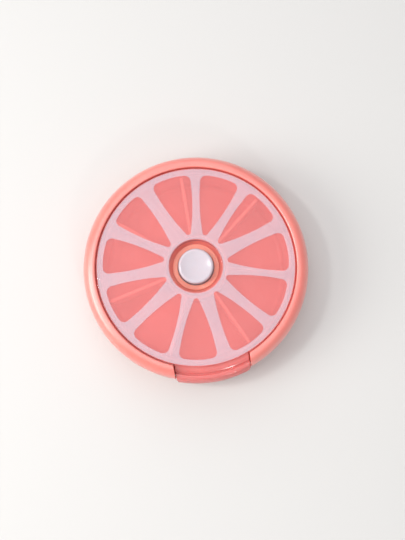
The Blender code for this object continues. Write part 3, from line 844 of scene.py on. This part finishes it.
@dataclass
class Case(SubAssembly):
    """Lower shell with its bowl, rim ring round the lid, and the three screws from below."""

    wall: float = 1.5
    foot_round: float = 3.5
    foot_width: float = 6.4
    foot_recess: float = 0.5
    foot_slant: float = 0.5
    pad_radius: float = 8.0
    floor: float = 2.0
    bowl_radius: float = 37.0
    bowl_wall: float = 1.0
    bowl_fillet: float = 2.2
    tube_bore: float = 3.5
    tube_radius: float = 4.9
    tube_top: float = 7.4
    collar: float = 11.4
    collar_wall: float = 1.2
    collar_height: float = 2.6
    seam: float = 14.65
    gap: float = 0.3
    outlet_half: float = 15.0
    outlet_flare: float = 0.8
    chute_half: float = 13.5
    chute_floor: float = 3.7
    chute_top: float = 12.5
    chute_front: float = 43.6
    lip: float = 0.55
    crest_inset: float = 4.3
    slope_height: float = 6.4
    groove: float = 0.34
    shelf: float = 2.4
    shelf_under: float = 15.8
    spigot_inset: float = 2.1
    spigot_height: float = 2.0
    end_round: float = 0.24
    screw_circle: float = 40.5
    boss_radius: float = 2.0
    boss_top: float = 16.6
    hole_radius: float = 1.15
    hole_top: float = 10.0
    recess_radius: float = 1.9
    recess_depth: float = 1.1
    socket_radius: float = 0.7
    socket_depth: float = 1.5

    def build(self) -> None:
        """Make the shell, the ring and the screws."""
        self.shell = self.shell_mesh()
        self.ring = self.ring_mesh()
        self.screws = [self.screw_mesh(f"case_screw_{number}_fine", angle)
                       for number, angle in enumerate(self.screw_angles(), start=1)]

    def dress(self) -> None:
        """Salmon ABS for both shells, plated steel for the screws."""
        stand_in(self.shell, Body.CASE, "case_pink", CASE_ABS, "base_shell")
        stand_in(self.ring, Body.CASE, "case_pink", CASE_ABS, "upper_case")
        for number, screw in enumerate(self.screws, start=1):
            stand_in(screw, Body.CASE, "spring_steel", ZINC_STEEL, f"case_screw_{number}")

    def screw_angles(self) -> list[float]:
        """The first screw is opposite the outlet."""
        return [0.5 * math.pi + number * 2.0 * math.pi / 3.0 for number in range(3)]

    def at_screws(self, name: str, outline: Sequence[Point], steps: int = 48) -> bpy.types.Mesh:
        """One turned shape at each screw, as a single mesh.

        Args:
            name: the mesh's name.
            outline: points of (radius, height) about the screw.
            steps: how many sections there are round it.

        Returns:
            The mesh.
        """
        shapes = []
        for angle in self.screw_angles():
            place = Matrix.Translation((*polar(self.screw_circle, angle), 0.0))
            shapes.append(moved(turned(name, outline, steps), place))
        return joined(name, shapes)

    def drill(self, name: str, radius: float, high: float) -> bpy.types.Mesh:
        """Rods at the screws, from under the case to a height."""
        under = -1.0
        return self.at_screws(name, [(0.0, high), (radius, high), (radius, under), (0.0, under)])

    def outlet_cutter(self, outer: float) -> bpy.types.Mesh:
        """A block across the outlet that flares at the case's surface, so that the slot's edges are round.

        Args:
            outer: the case's outer radius.

        Returns:
            The cutter's mesh.
        """
        flare, half, wide = self.outlet_flare, self.outlet_half, self.outlet_half + 6.0
        start, face, front = outer - 0.9, outer + 0.5, outer + 5.0
        inner = self.bowl_radius + self.bowl_wall + self.gap
        outline = [
            (-half, -inner), *arc((-half - flare, -start), (flare, flare), 0.0, -90.0, 6),
            (-wide, -face), (-wide, -front), (wide, -front), (wide, -face),
            *arc((half + flare, -start), (flare, flare), -90.0, -180.0, 6), (half, -inner),
        ]
        return plate("outlet_cutter", [outline], self.chute_floor + self.gap, ABOVE)

    def shell_mesh(self) -> bpy.types.Mesh:
        """Lower shell: centre tube, bearing collar, bowl, outer wall, foot ring, outlet and screw holes.

        Returns:
            The closed mesh.
        """
        span = Span.of("base_shell")
        outer, bowl_top, floor, recess = span.radius, span.high.z, self.floor, self.foot_recess
        bowl_in, bowl_out = self.bowl_radius, self.bowl_radius + self.bowl_wall
        wall_in, wall_top = outer - self.wall, self.seam - self.gap
        collar_in, collar_top = self.collar - self.collar_wall, floor + self.collar_height
        foot_in, trench = outer - self.foot_round - self.foot_width, floor - 0.2
        profile = rounded([
            (0.0, floor), (self.tube_bore, floor), (self.tube_bore, self.tube_top, 0.2),
            (self.tube_radius, self.tube_top, 0.3), (self.tube_radius, floor, 0.4), (collar_in, floor, 0.3),
            (collar_in, collar_top, 0.25), (self.collar, collar_top, 0.25), (self.collar, floor, 0.15),
            (bowl_in, floor, self.bowl_fillet), (bowl_in, bowl_top, 0.25), (bowl_out, bowl_top, 0.25),
            (bowl_out, trench, 0.4), (wall_in, trench, 1.0), (wall_in, wall_top, 0.2),
            (outer, wall_top, 0.25), (outer, 0.0, self.foot_round), (foot_in, 0.0, 0.3),
            (foot_in - self.foot_slant, recess, 0.3), (self.pad_radius + self.foot_slant, recess, 0.3),
            (self.pad_radius, 0.0, 0.3), (0.0, 0.0),
        ], closed=False, chord=7.5)
        chute_in, chute_foot, front = bowl_in + 0.6, 1.0, self.chute_front
        chute = swept("chute", rounded([
            (front, self.chute_top, 0.4), (front, chute_foot), (chute_in, chute_foot),
            (chute_in, self.chute_top, 0.3)]), self.outlet_half - self.gap, Keep.OUTLET, 0.2, 24)
        channel = outlet_block("channel", self.chute_half, self.chute_floor, ABOVE)
        mark_radius, mark_circle, mark_turn, mark_depth = 2.2, 25.0, 0.6, 0.12
        marks = [plate("witness", [circle(mark_radius, 48, polar(mark_circle, angle + mark_turn))], -1.0,
                       recess + mark_depth) for angle in self.screw_angles()]
        holes = self.drill("screw_holes", self.hole_radius, 4.0)
        recesses = self.drill("screw_recesses", self.recess_radius, self.recess_depth)
        return evaluated("lower_shell", turned("shell", profile), (self.outlet_cutter(outer), Cut.REMOVE),
                         (chute, Cut.ADD), (joined("cutters", [channel, recesses, *marks]), Cut.REMOVE),
                         (holes, Cut.REMOVE))

    def ring_mesh(self) -> bpy.types.Mesh:
        """Rim ring: a small lip beside the lid, a crest and a long round slope down to the seam.

        Returns:
            The closed mesh.
        """
        span, lid = Span.of("upper_case"), Span.of("clear_lid")
        outer, top = span.radius, span.high.z
        inner, shelf_top = lid.radius + self.groove, lid.low.z + self.shelf
        bowl_clear = self.bowl_radius + 1.3
        crest, slope, edge = self.crest_inset, self.slope_height, 0.3
        spigot, spigot_low = outer - self.spigot_inset, self.seam - self.spigot_height
        profile = [
            *arc((inner + self.lip, top - self.lip), (self.lip, self.lip), 180.0, 90.0, 6),
            *arc((outer - crest, top - slope), (crest, slope), 90.0, 0.0, 20),
            *arc((outer - edge, self.seam + edge), (edge, edge), 0.0, -90.0, 4),
            (spigot, self.seam), (spigot, spigot_low), (spigot - 1.0, spigot_low),
            (spigot - 1.0, self.shelf_under), (bowl_clear, self.shelf_under), (bowl_clear, shelf_top),
            (inner, shelf_top),
        ]
        ring = swept("rim", profile, self.outlet_half, Keep.REST, self.end_round, 180)
        bosses = self.at_screws("bosses", [
            (0.0, self.boss_top), (self.boss_radius, self.boss_top), (self.boss_radius, span.low.z),
            (self.hole_radius, span.low.z), (self.hole_radius, self.hole_top), (0.0, self.hole_top)])
        reach = self.outlet_half + self.socket_depth
        sockets = pin_rod("pin_sockets", self.socket_radius, -reach, reach)
        return evaluated("rim_ring", ring, (bosses, Cut.ADD), (sockets, Cut.REMOVE))

    def screw_mesh(self, name: str, angle: float) -> bpy.types.Mesh:
        """A pan-head screw for plastic with a cross recess; its thread is drawn as rings.

        Args:
            name: the mesh's name.
            angle: its place round the case, in radians.

        Returns:
            The closed mesh, in its place.
        """
        span = Span.of("case_screw_1")
        low, top = span.low.z, span.high.z
        head, head_round, edge, core, crest, pitch, point = 1.6, 0.4, 0.1, 0.62, 0.85, 0.9, 1.0
        head_top = low + 0.65
        profile = [(0.0, top), (0.15, top), (core, top - point)]
        for turn in range(int((top - point - head_top - 0.6) / pitch)):
            height = top - 1.2 - turn * pitch
            profile += [(core, height), (crest, height - 0.25), (crest, height - 0.35), (core, height - 0.6)]
        profile += [(core, head_top), *arc((head - edge, head_top - edge), (edge, edge), 90.0, 0.0, 3),
                    *arc((head - head_round, low + head_round), (head_round, head_round), 0.0, -90.0, 6),
                    (0.0, low)]
        length, width, corner = 0.95, 0.17, 0.08
        cross = rounded([(-length, -width, corner), (length, -width, corner), (length, width, corner),
                         (-length, width, corner)])
        blades = [moved(plate("blade", [cross], low - 1.0, low + 0.4), Matrix.Rotation(turn, 4, "Z"))
                  for turn in (0.25 * math.pi, 0.75 * math.pi)]
        screw = evaluated(name, turned("screw", profile, 40), *((blade, Cut.REMOVE) for blade in blades))
        return moved(screw, Matrix.Translation((*polar(self.screw_circle, angle), 0.0)))


def pin_rod(name: str, radius: float, start: float, end: float, bevel: float = 0.0) -> bpy.types.Mesh:
    """A rod on the flap's hinge axis between two places along X.

    Args:
        name: the mesh's name.
        radius: its radius.
        start: where it starts.
        end: where it ends.
        bevel: chamfer of its ends.

    Returns:
        The closed mesh.
    """
    outline = [(0.0, end), (radius - bevel, end), (radius, end - bevel), (radius, start + bevel),
               (radius - bevel, start), (0.0, start)]
    axis = Span.of("flap_pin_left")
    centre = 0.5 * (axis.low + axis.high)
    lay = Matrix.Translation((0.0, centre.y, centre.z)) @ Matrix.Rotation(0.5 * math.pi, 4, "Y")
    return moved(turned(name, outline, 32), lay)


# ---------------------------------------------------------------- lid

@dataclass(frozen=True)
class Slice:
    """One window of the print, in degrees about +Z: its middle, its width and how far its point leans."""

    middle: float
    width: float
    lean: float


@dataclass
class Lid(SubAssembly):
    """Clear lid with the button's well, the citrus print on it and the soft ring under it."""

    thickness: float = 1.4
    rim_width: float = 0.8
    rim_drop: float = 2.3
    well_radius: float = 10.3
    well_foot: float = 9.35
    well_wall: float = 0.8
    well_floor: float = 1.2
    button_hole: float = 7.25
    relief_half: float = 15.2
    seal_width: float = 0.9
    film: float = 0.09
    film_lift: float = 0.03
    print_inner: float = 10.75
    slice_outer: float = 36.7
    slice_point: float = 11.0
    slice_tip: float = 1.1
    slice_corner: float = 2.9
    slice_bow: float = 0.85
    # The print is drawn by hand, so its eleven slices are not quite alike.
    slices: tuple[Slice, ...] = (
        Slice(97, 25.5, -5), Slice(65, 25.5, 0), Slice(33, 23.5, 4), Slice(0, 25.5, 1), Slice(-31, 25.5, 2),
        Slice(-64, 25.5, 1), Slice(-98, 24.5, -1), Slice(-130, 25.5, 2), Slice(-163, 25.5, -4),
        Slice(-196, 23.5, -6), Slice(-229, 23.5, 2),
    )

    def build(self) -> None:
        """Make the lid, the film and the ring."""
        self.pane = self.pane_mesh()
        self.print = self.print_mesh()
        seal = Span.of("lid_seal")
        self.seal = hoop("lid_seal_ring", seal, seal.radius, seal.radius - self.seal_width,
                         (0.3, 0.15, 0.15, 0.3))

    def dress(self) -> None:
        """Milky polystyrene with a deeper tint on the well's floor, white ink and silicone."""
        pane = stand_in(self.pane, Body.CASE, "lid_clear", LID_MILKY, "clear_lid")
        pane.data.materials.append(WELL_TINT.material())
        tint_top = Span.of("clear_lid").low.z + self.well_floor + 0.12
        tint_radius = self.well_radius + 0.5
        for face in pane.data.polygons:
            centre = face.center / MM
            face.material_index = int(centre.z < tint_top and centre.xy.length < tint_radius)
        stand_in(self.print, Body.CASE, "lid_print", PRINT_INK, "lid_decal")
        stand_in(self.seal, Body.CASE, "silicone", SILICONE, "lid_seal")

    def pane_mesh(self) -> bpy.types.Mesh:
        """Disc with a round-edged rim, a well with a sloping wall, and a relief over the flap.

        Returns:
            The closed mesh.
        """
        span = Span.of("clear_lid")
        outer, top, low = span.radius, span.high.z, span.low.z
        under, rim_low, floor_top = top - self.thickness, top - self.rim_drop, low + self.well_floor
        rim_in, outside_well = outer - self.rim_width, self.well_radius + self.well_wall
        profile = rounded([
            (self.well_radius, top, 0.5), (outer, top, 0.3), (outer, rim_low, 0.15), (rim_in, rim_low, 0.15),
            (rim_in, under, 0.3), (outside_well, under, 0.4), (outside_well - 0.1, low, 0.2),
            (self.button_hole, low, 0.1), (self.button_hole, floor_top, 0.3),
            (self.well_foot, floor_top, 0.7),
        ])
        relief = outlet_block("relief", self.relief_half, 10.0, under - 0.05)
        return evaluated("lid_pane", turned("pane", profile), (relief, Cut.REMOVE))

    def print_mesh(self) -> bpy.types.Mesh:
        """The printed film on the lid, with eleven open slices.

        Returns:
            The closed mesh.
        """
        low = Span.of("clear_lid").high.z + self.film_lift
        outlines = [circle(Span.of("lid_decal").radius), circle(self.print_inner)]
        outlines += [self.slice_outline(piece) for piece in self.slices]
        return plate("citrus_print", outlines, low, low + self.film, 0.02)

    def slice_outline(self, piece: Slice) -> list[Point]:
        """Outline of one open slice.

        Args:
            piece: where it is and how it leans.

        Returns:
            Points of a slice with a round point, bowed sides and round outer corners.
        """
        middle, half = math.radians(piece.middle), 0.5 * math.radians(piece.width)
        point = Vector(polar(self.slice_point, middle + math.radians(piece.lean)))
        right = Vector(polar(self.slice_outer, middle - half))
        left = Vector(polar(self.slice_outer, middle + half))
        shares = (-0.35, -0.18, 0.0, 0.18, 0.35)
        crown = [polar(self.slice_outer, middle + half * share) for share in shares]
        return rounded([
            (*point, self.slice_tip), *self.bowed_side(point, right), (*right, self.slice_corner), *crown,
            (*left, self.slice_corner), *self.bowed_side(left, point)])

    def bowed_side(self, start: Vector, end: Vector) -> list[Point]:
        """Points between two ends of a side that bows out in its middle.

        Args:
            start: its first end.
            end: its last end.

        Returns:
            The points between them.
        """
        away = (end - start).orthogonal().normalized() * -self.slice_bow
        shares = (0.3, 0.4, 0.5, 0.6, 0.7)
        return [tuple(start.lerp(end, share) + away * 4.0 * share * (1.0 - share)) for share in shares]


# ---------------------------------------------------------------- wheel

@dataclass
class Wheel(SubAssembly):
    """Seven-vane wheel, its saw-tooth ring and the washer under its hub."""

    compartments: int = 7
    vane: float = 1.3
    hub_radius: float = 12.8
    hub_bore: float = 11.7
    tooth_low: float = 9.3
    tooth_high: float = 10.5
    corner: float = 2.4
    vane_edge: float = 0.35

    def build(self) -> None:
        """Make the three pieces."""
        self.wheel = self.wheel_mesh()
        ring = Span.of("ratchet_ring")
        self.ratchet = plate("saw_tooth_ring", [circle(ring.radius), self.saw_outline()], ring.low.z,
                             ring.high.z, 0.12)
        self.washer = hoop("hub_washer", Span.of("wheel_washer"), self.hub_radius, self.hub_bore, (0.1,) * 4)

    def dress(self) -> None:
        """Tinted polystyrene for the wheel, acetal for what rubs."""
        stand_in(self.wheel, Body.WHEEL, "wheel_tinted", WHEEL_TINT, "dose_wheel")
        stand_in(self.ratchet, Body.WHEEL, "acetal", TOOTH_ACETAL, "ratchet_ring")
        stand_in(self.washer, Body.WHEEL, "acetal", ACETAL, "wheel_washer")

    def wheel_mesh(self) -> bpy.types.Mesh:
        """Round-edged hub with seven vanes; each vane's lower corner clears the bowl's round edge.

        Returns:
            The closed mesh.
        """
        span = Span.of("dose_wheel")
        low, top, reach = span.low.z, span.high.z, span.radius
        hub_low, root = low + 0.5, self.hub_radius - 0.6
        hub = turned("hub", rounded([
            (self.hub_bore, top, 0.3), (self.hub_radius, top, 0.45), (self.hub_radius, hub_low, 0.1),
            (self.hub_bore, hub_low, 0.1)]))
        outline = rounded([
            (root, low + 0.6), (self.hub_radius + 0.3, low + 0.1, 0.2), (reach - self.corner, low, 0.8),
            (reach, low + self.corner, 0.8), (reach, top, 0.8), (root, top, 0.2)])
        upright = Matrix.Rotation(0.5 * math.pi, 4, "X")
        vanes = []
        for number in range(self.compartments):
            turn = -0.5 * math.pi + (number + 0.5) * 2.0 * math.pi / self.compartments
            vane = plate("vane", [outline], -0.5 * self.vane, 0.5 * self.vane, self.vane_edge)
            vanes.append(moved(vane, Matrix.Rotation(turn, 4, "Z") @ upright))
        return evaluated("vane_wheel", hub, (joined("vanes", vanes), Cut.ADD))

    def saw_outline(self) -> list[Point]:
        """Seven teeth that point inwards; each rises slowly and drops almost at once.

        Returns:
            Points of the closed outline.
        """
        steps, rise = 12, 0.997
        outline = []
        for tooth in range(self.compartments):
            for step in range(steps + 1):
                share = step / steps
                angle = (tooth + rise * share) * 2.0 * math.pi / self.compartments
                outline.append(polar(self.tooth_low + (self.tooth_high - self.tooth_low) * share, angle))
        return outline


# ---------------------------------------------------------------- drive

@dataclass
class Drive(SubAssembly):
    """Button with its twisted stem, the nut that the stem turns, and both springs."""

    button_radius: float = 6.95
    dish_slope: float = 0.28
    rim: float = 0.9
    skirt: float = 1.35
    crown: float = 2.0
    flange: float = 0.8
    stem_side: float = 4.2
    stem_head: float = 5.2
    stem_head_height: float = 2.1
    stem_slack: float = 0.6
    rotor_radius: float = 5.6
    arm_reach: float = 8.9
    tube_radius: float = 4.9
    tube_bore: float = 3.5
    stroke: float = 3.0
    # One seventh of a turn in one stroke.
    twist: float = 2.0 * math.pi / 7.0 / 3.0
    wire: float = 0.22
    coil_radius: float = 2.7
    coil_turns: int = 5

    def build(self) -> None:
        """Make the six pieces."""
        self.button = self.button_mesh()
        self.stem = self.stem_mesh()
        self.rotor = self.rotor_mesh()
        self.washer = hoop("rotor_thrust_washer", Span.of("rotor_washer"), self.rotor_radius - 0.2,
                           self.tube_bore, (0.1,) * 4, 96)
        self.click = self.click_mesh()
        self.spring = self.spring_mesh()

    def dress(self) -> None:
        """White ABS button, acetal drive, steel springs."""
        stand_in(self.button, Body.BUTTON, "button_white", BUTTON_ABS, "button_cap")
        stand_in(self.stem, Body.BUTTON, "acetal", ACETAL, "drive_stem")
        stand_in(self.rotor, Body.ROTOR, "acetal", ACETAL, "index_rotor")
        stand_in(self.washer, Body.CASE, "acetal", ACETAL, "rotor_washer")
        stand_in(self.click, Body.CASE, "spring_steel", SPRING_STEEL, "click_spring")
        coil = stand_in(self.spring, Body.CASE, "spring_steel", SPRING_STEEL, "return_spring")
        span = Span.of("return_spring")
        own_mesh(coil)

    def button_mesh(self) -> bpy.types.Mesh:
        """Cap whose shallow dish runs tangentially into its round rim, and the flange under the well.

        Returns:
            The closed mesh.
        """
        span = Span.of("button_cap")
        top, low, radius = span.high.z, span.low.z, self.button_radius
        start = 90.0 + math.degrees(math.atan(self.dish_slope))
        rim = arc((radius - self.rim, top - self.rim), (self.rim, self.rim), start, 0.0, 12)
        edge_radius, edge_height = rim[0]
        depth = 0.5 * self.dish_slope * edge_radius
        dish = [(edge_radius * share, edge_height - depth * (1.0 - share * share))
                for share in (0.0, 0.15, 0.3, 0.45, 0.6, 0.75, 0.88)]
        cavity, cavity_top, flange_top = radius - self.skirt, top - self.crown, low + self.flange
        skirt = rounded([
            (radius, cavity_top), (radius, flange_top, 0.15), (span.radius, flange_top, 0.2),
            (span.radius, low, 0.2), (cavity, low, 0.2), (cavity, cavity_top, 0.3), (0.0, cavity_top),
        ], closed=False)
        return turned("push_button", [*dish, *rim, *skirt])

    def square(self, side: float) -> list[Point]:
        """A square outline with round corners, its corners on the X and Y axes."""
        reach, corner = side / math.sqrt(2.0), 0.3
        return rounded([(reach, 0.0, corner), (0.0, reach, corner), (-reach, 0.0, corner),
                        (0.0, -reach, corner)], chord=15.0)

    def stem_mesh(self) -> bpy.types.Mesh:
        """Square bar with a steep twist under a round head.

        Returns:
            The closed mesh.
        """
        span = Span.of("drive_stem")
        top, head_low, chamfer = span.high.z, span.high.z - self.stem_head_height, 0.3
        bar = lofted("bar", self.square(self.stem_side), span.low.z, head_low + 0.5, self.twist)
        head = turned("head", [(0.0, top), (self.stem_head - chamfer, top), (self.stem_head, top - chamfer),
                               (self.stem_head, head_low), (0.0, head_low)], 96)
        return evaluated("twisted_stem", bar, (head, Cut.ADD))

    def rotor_mesh(self) -> bpy.types.Mesh:
        """Nut with three spring pawls and the twisted hole for the stem.

        Returns:
            The closed mesh.
        """
        span = Span.of("index_rotor")
        low, top, radius, chamfer = span.low.z, span.high.z, self.rotor_radius, 0.2
        nut = turned("nut", [(0.0, top), (radius - chamfer, top), (radius, top - chamfer),
                             (radius, low + chamfer), (radius - chamfer, low), (0.0, low)], 96)
        tools = []
        for tooth in (0, 2, 5):
            arm = self.arm_outline(radius, tooth * 2.0 * math.pi / 7.0, math.radians(62), 0.9)
            tools.append((plate("pawl", [arm], low + 0.3, top - 0.3), Cut.ADD))
        over = 1.0
        hole = lofted("hole", self.square(self.stem_side + self.stem_slack), low - over, top + over,
                      self.twist)
        phase = Matrix.Rotation(self.twist * (low - over - Span.of("drive_stem").low.z), 4, "Z")
        return evaluated("index_nut", nut, *tools, (moved(hole, phase), Cut.REMOVE))

    def arm_outline(self, root: float, start: float, sweep: float, thickness: float) -> list[Point]:
        """A spring arm that curls out from a hub to the saw teeth.

        Args:
            root: radius where it starts.
            start: angle in radians where it starts.
            sweep: angle in radians that it covers.
            thickness: its width across.

        Returns:
            Points of its closed outline.
        """
        steps = 20
        shares = [step / steps for step in range(steps + 1)]
        places = [(root + (self.arm_reach - root) * share, start + sweep * share) for share in shares]
        outer = [polar(radius, angle) for radius, angle in places]
        inner = [polar(radius - thickness, angle) for radius, angle in places]
        return outer + inner[::-1]

    def click_mesh(self) -> bpy.types.Mesh:
        """Band round the centre tube with one arm that keeps the wheel from turning back.

        Returns:
            The closed mesh.
        """
        span = Span.of("click_spring")
        low, high, bore, band_width = span.low.z, span.high.z, self.tube_radius + 0.3, 0.8
        band = plate("band", [circle(bore + band_width, 96), circle(bore, 96)], low, high)
        arm = self.arm_outline(bore + 0.75, math.radians(25), math.radians(70), 0.5)
        return evaluated("click_pawl", band, (plate("arm", [arm], low + 0.2, high - 0.2), Cut.ADD))

    def spring_mesh(self) -> bpy.types.Mesh:
        """Coil of round wire under the stem.

        Returns:
            The closed mesh.
        """
        span = Span.of("return_spring")
        bottom, top = span.low.z + self.wire, span.high.z - self.wire
        curve = bpy.data.curves.new("coil", "CURVE")
        curve.dimensions = "3D"
        curve.bevel_depth = self.wire * MM
        curve.bevel_resolution = 3
        curve.use_fill_caps = True
        spline = curve.splines.new("POLY")
        per_turn = 32
        last = self.coil_turns * per_turn
        spline.points.add(last)
        for index, point in enumerate(spline.points):
            x, y = polar(self.coil_radius, 2.0 * math.pi * index / per_turn)
            height = bottom + (top - bottom) * index / last
            point.co = (x * MM, y * MM, height * MM, 1.0)
        return evaluated("lift_spring", curve)


# ---------------------------------------------------------------- flap

@dataclass
class Flap(SubAssembly):
    """Outlet flap and its two hinge pins."""

    end_round: float = 0.25
    brow: float = 18.8
    groove: float = 18.2
    pin_radius: float = 0.4
    pin_slack: float = 0.3
    bore_depth: float = 1.5

    def build(self) -> None:
        """Make the flap and the pins."""
        span = Span.of("outlet_flap")
        outer, low, top, half = -span.low.y, span.low.z, span.high.z, span.high.x
        hinge_roll = [(39.2, top - 0.1, 0.3), (41.0, top - 0.15, 1.5)]
        groove = [(41.95, self.brow, 0.3), (42.25, self.groove, 0.3), (42.55, self.groove, 0.3),
                  (42.85, self.brow, 0.3)]
        front = [(44.3, 18.55, 0.8), (45.45, 16.6, 1.4), (outer - 0.7, 9.5, 3.0), (outer, 7.4, 1.5),
                 (outer, low, 0.5)]
        back = [(44.6, low, 0.3), (44.2, 9.5, 2.0), (44.1, 14.6, 0.8), (43.2, 16.0, 0.8), (41.9, 16.4, 0.5),
                (41.5, 17.25, 0.3), (39.2, 17.75, 0.3)]
        body = swept("flap_body", rounded([*hinge_roll, *groove, *front, *back]), half, Keep.OUTLET,
                     self.end_round, 40)
        bore, depth = self.pin_radius + self.pin_slack, self.bore_depth
        bores = [pin_rod("bore", bore, end - depth, end + depth) for end in (-half, half)]
        self.flap = evaluated("flap_door", body, (joined("bores", bores), Cut.REMOVE))
        self.pins = []
        for name in ("left", "right"):
            pin = Span.of(f"flap_pin_{name}")
            self.pins.append(pin_rod(f"hinge_pin_{name}", self.pin_radius, pin.low.x, pin.high.x, 0.08))

    def dress(self) -> None:
        """Dyed translucent polystyrene and steel."""
        stand_in(self.flap, Body.FLAP, "flap_tinted", FLAP_TINT, "outlet_flap")
        for name, pin in zip(("left", "right"), self.pins):
            stand_in(pin, Body.CASE, "spring_steel", SPRING_STEEL, f"flap_pin_{name}")


# ---------------------------------------------------------------- studio

@dataclass(frozen=True)
class Lamp:
    """A square area light that faces the object, placed along the view's level right and up directions."""

    name: str
    right: float
    up: float
    height: float
    width: float
    power: float
    colour: str


@dataclass
class Studio:
    """Pale floor, soft light from the left of the view, and a camera almost straight above."""

    azimuth: float = -9.5
    elevation: float = 83.3
    distance: float = 282.0
    field: float = 212.6
    aim_right: float = 2.6
    aim_down: float = 1.6
    floor_width: float = 3000.0
    floor_drop: float = 0.05
    sky_strength: float = 0.55
    # A key light low on the left, a large one far behind, a sheet overhead, and two small ones that
    # leave a spark on the button's dish and a streak on the flap.
    lamps: tuple[Lamp, ...] = (
        Lamp("window", -620.0, -120.0, 420.0, 420.0, 3.9, "#FFFBF7"),
        Lamp("ceiling", -180.0, 900.0, 760.0, 900.0, 3.2, "#FAFBFF"),
        Lamp("canopy", 0.0, 0.0, 900.0, 900.0, 2.8, "#FFFFFF"),
        Lamp("spark", -230.0, 10.0, 430.0, 46.0, 0.42, "#FFFFFF"),
        Lamp("glint", 140.0, -360.0, 380.0, 40.0, 0.22, "#FFFFFF"),
    )

    def build(self) -> None:
        """Make the floor, the lights and the camera."""
        self.lay_floor()
        self.hang_lamps()
        self.set_camera()
        scene = bpy.context.scene
        scene.view_settings.view_transform = "Standard"
        scene.world = bpy.data.worlds.new("soft_room")
        scene.world.use_nodes = True
        sky = scene.world.node_tree.nodes["Background"]
        sky.inputs["Color"].default_value = linear("#F4F4F6")
        sky.inputs["Strength"].default_value = self.sky_strength

    def axes(self) -> tuple[Vector, Vector, Vector]:
        """The view's right, up and back directions.

        Returns:
            Three directions at right angles to each other.
        """
        turn, tilt = math.radians(self.azimuth), math.radians(self.elevation)
        back = Vector((math.sin(turn) * math.cos(tilt), -math.cos(turn) * math.cos(tilt), math.sin(tilt)))
        right = Vector((math.cos(turn), math.sin(turn), 0.0))
        return right, back.cross(right), back

    def place(self, name: str, data: bpy.types.ID, spot: Vector, back: Vector) -> bpy.types.Object:
        """Put a light or a camera at a place in millimetres, looking away from a direction.

        Args:
            name: the object's name.
            data: the light or the camera.
            spot: its place.
            back: the direction behind it.

        Returns:
            The object, linked to the scene.
        """
        thing = bpy.data.objects.new(name, data)
        thing.location = spot * MM
        thing.rotation_mode = "QUATERNION"
        thing.rotation_quaternion = back.to_track_quat("Z", "Y")
        bpy.context.scene.collection.objects.link(thing)
        return thing

    def lay_floor(self) -> None:
        """A wide pale sheet under the object."""
        work = bmesh.new()
        bmesh.ops.create_grid(work, x_segments=1, y_segments=1, size=0.5 * self.floor_width * MM)
        mesh = bpy.data.meshes.new("floor")
        work.to_mesh(mesh)
        work.free()
        # Matt paper: pale and even, with soft shadows.
        material = bpy.data.materials.new("pale_paper")
        material.use_nodes = True
        shader = material.node_tree.nodes["Principled BSDF"]
        shader.inputs["Base Color"].default_value = linear("#D0CFCD")
        shader.inputs["Roughness"].default_value = 0.8
        mesh.materials.append(material)
        floor = bpy.data.objects.new("floor", mesh)
        floor.location.z = -self.floor_drop * MM
        bpy.context.scene.collection.objects.link(floor)

    def hang_lamps(self) -> None:
        """Put each lamp in its place, facing the middle of the object's underside."""
        right, up, _ = self.axes()
        level = Vector((up.x, up.y, 0.0)).normalized()
        for lamp in self.lamps:
            light = bpy.data.lights.new(lamp.name, "AREA")
            light.size = lamp.width * MM
            light.energy = lamp.power
            light.color = linear(lamp.colour)[:3]
            spot = right * lamp.right + level * lamp.up + Vector((0.0, 0.0, lamp.height))
            self.place(lamp.name, light, spot, spot)

    def set_camera(self) -> None:
        """Look down at a point of the lid just beside its centre."""
        right, up, back = self.axes()
        lid_top = Vector((0.0, 0.0, Span.of("clear_lid").high.z))
        target = lid_top + right * self.aim_right - up * self.aim_down
        camera = bpy.data.cameras.new("camera")
        camera.lens = camera.sensor_width * self.distance / self.field
        camera.clip_start = 0.01
        bpy.context.scene.camera = self.place("camera", camera, target + back * self.distance, back)


def main() -> None:
    """Build each sub-assembly in turn, then the studio."""
    logging.basicConfig(level=logging.INFO, format="%(message)s")
    for assembly in (Case(), Lid(), Wheel(), Drive(), Flap()):
        assembly.build()
        assembly.dress()
    Studio().build()


if __name__ == "__main__":
    main()
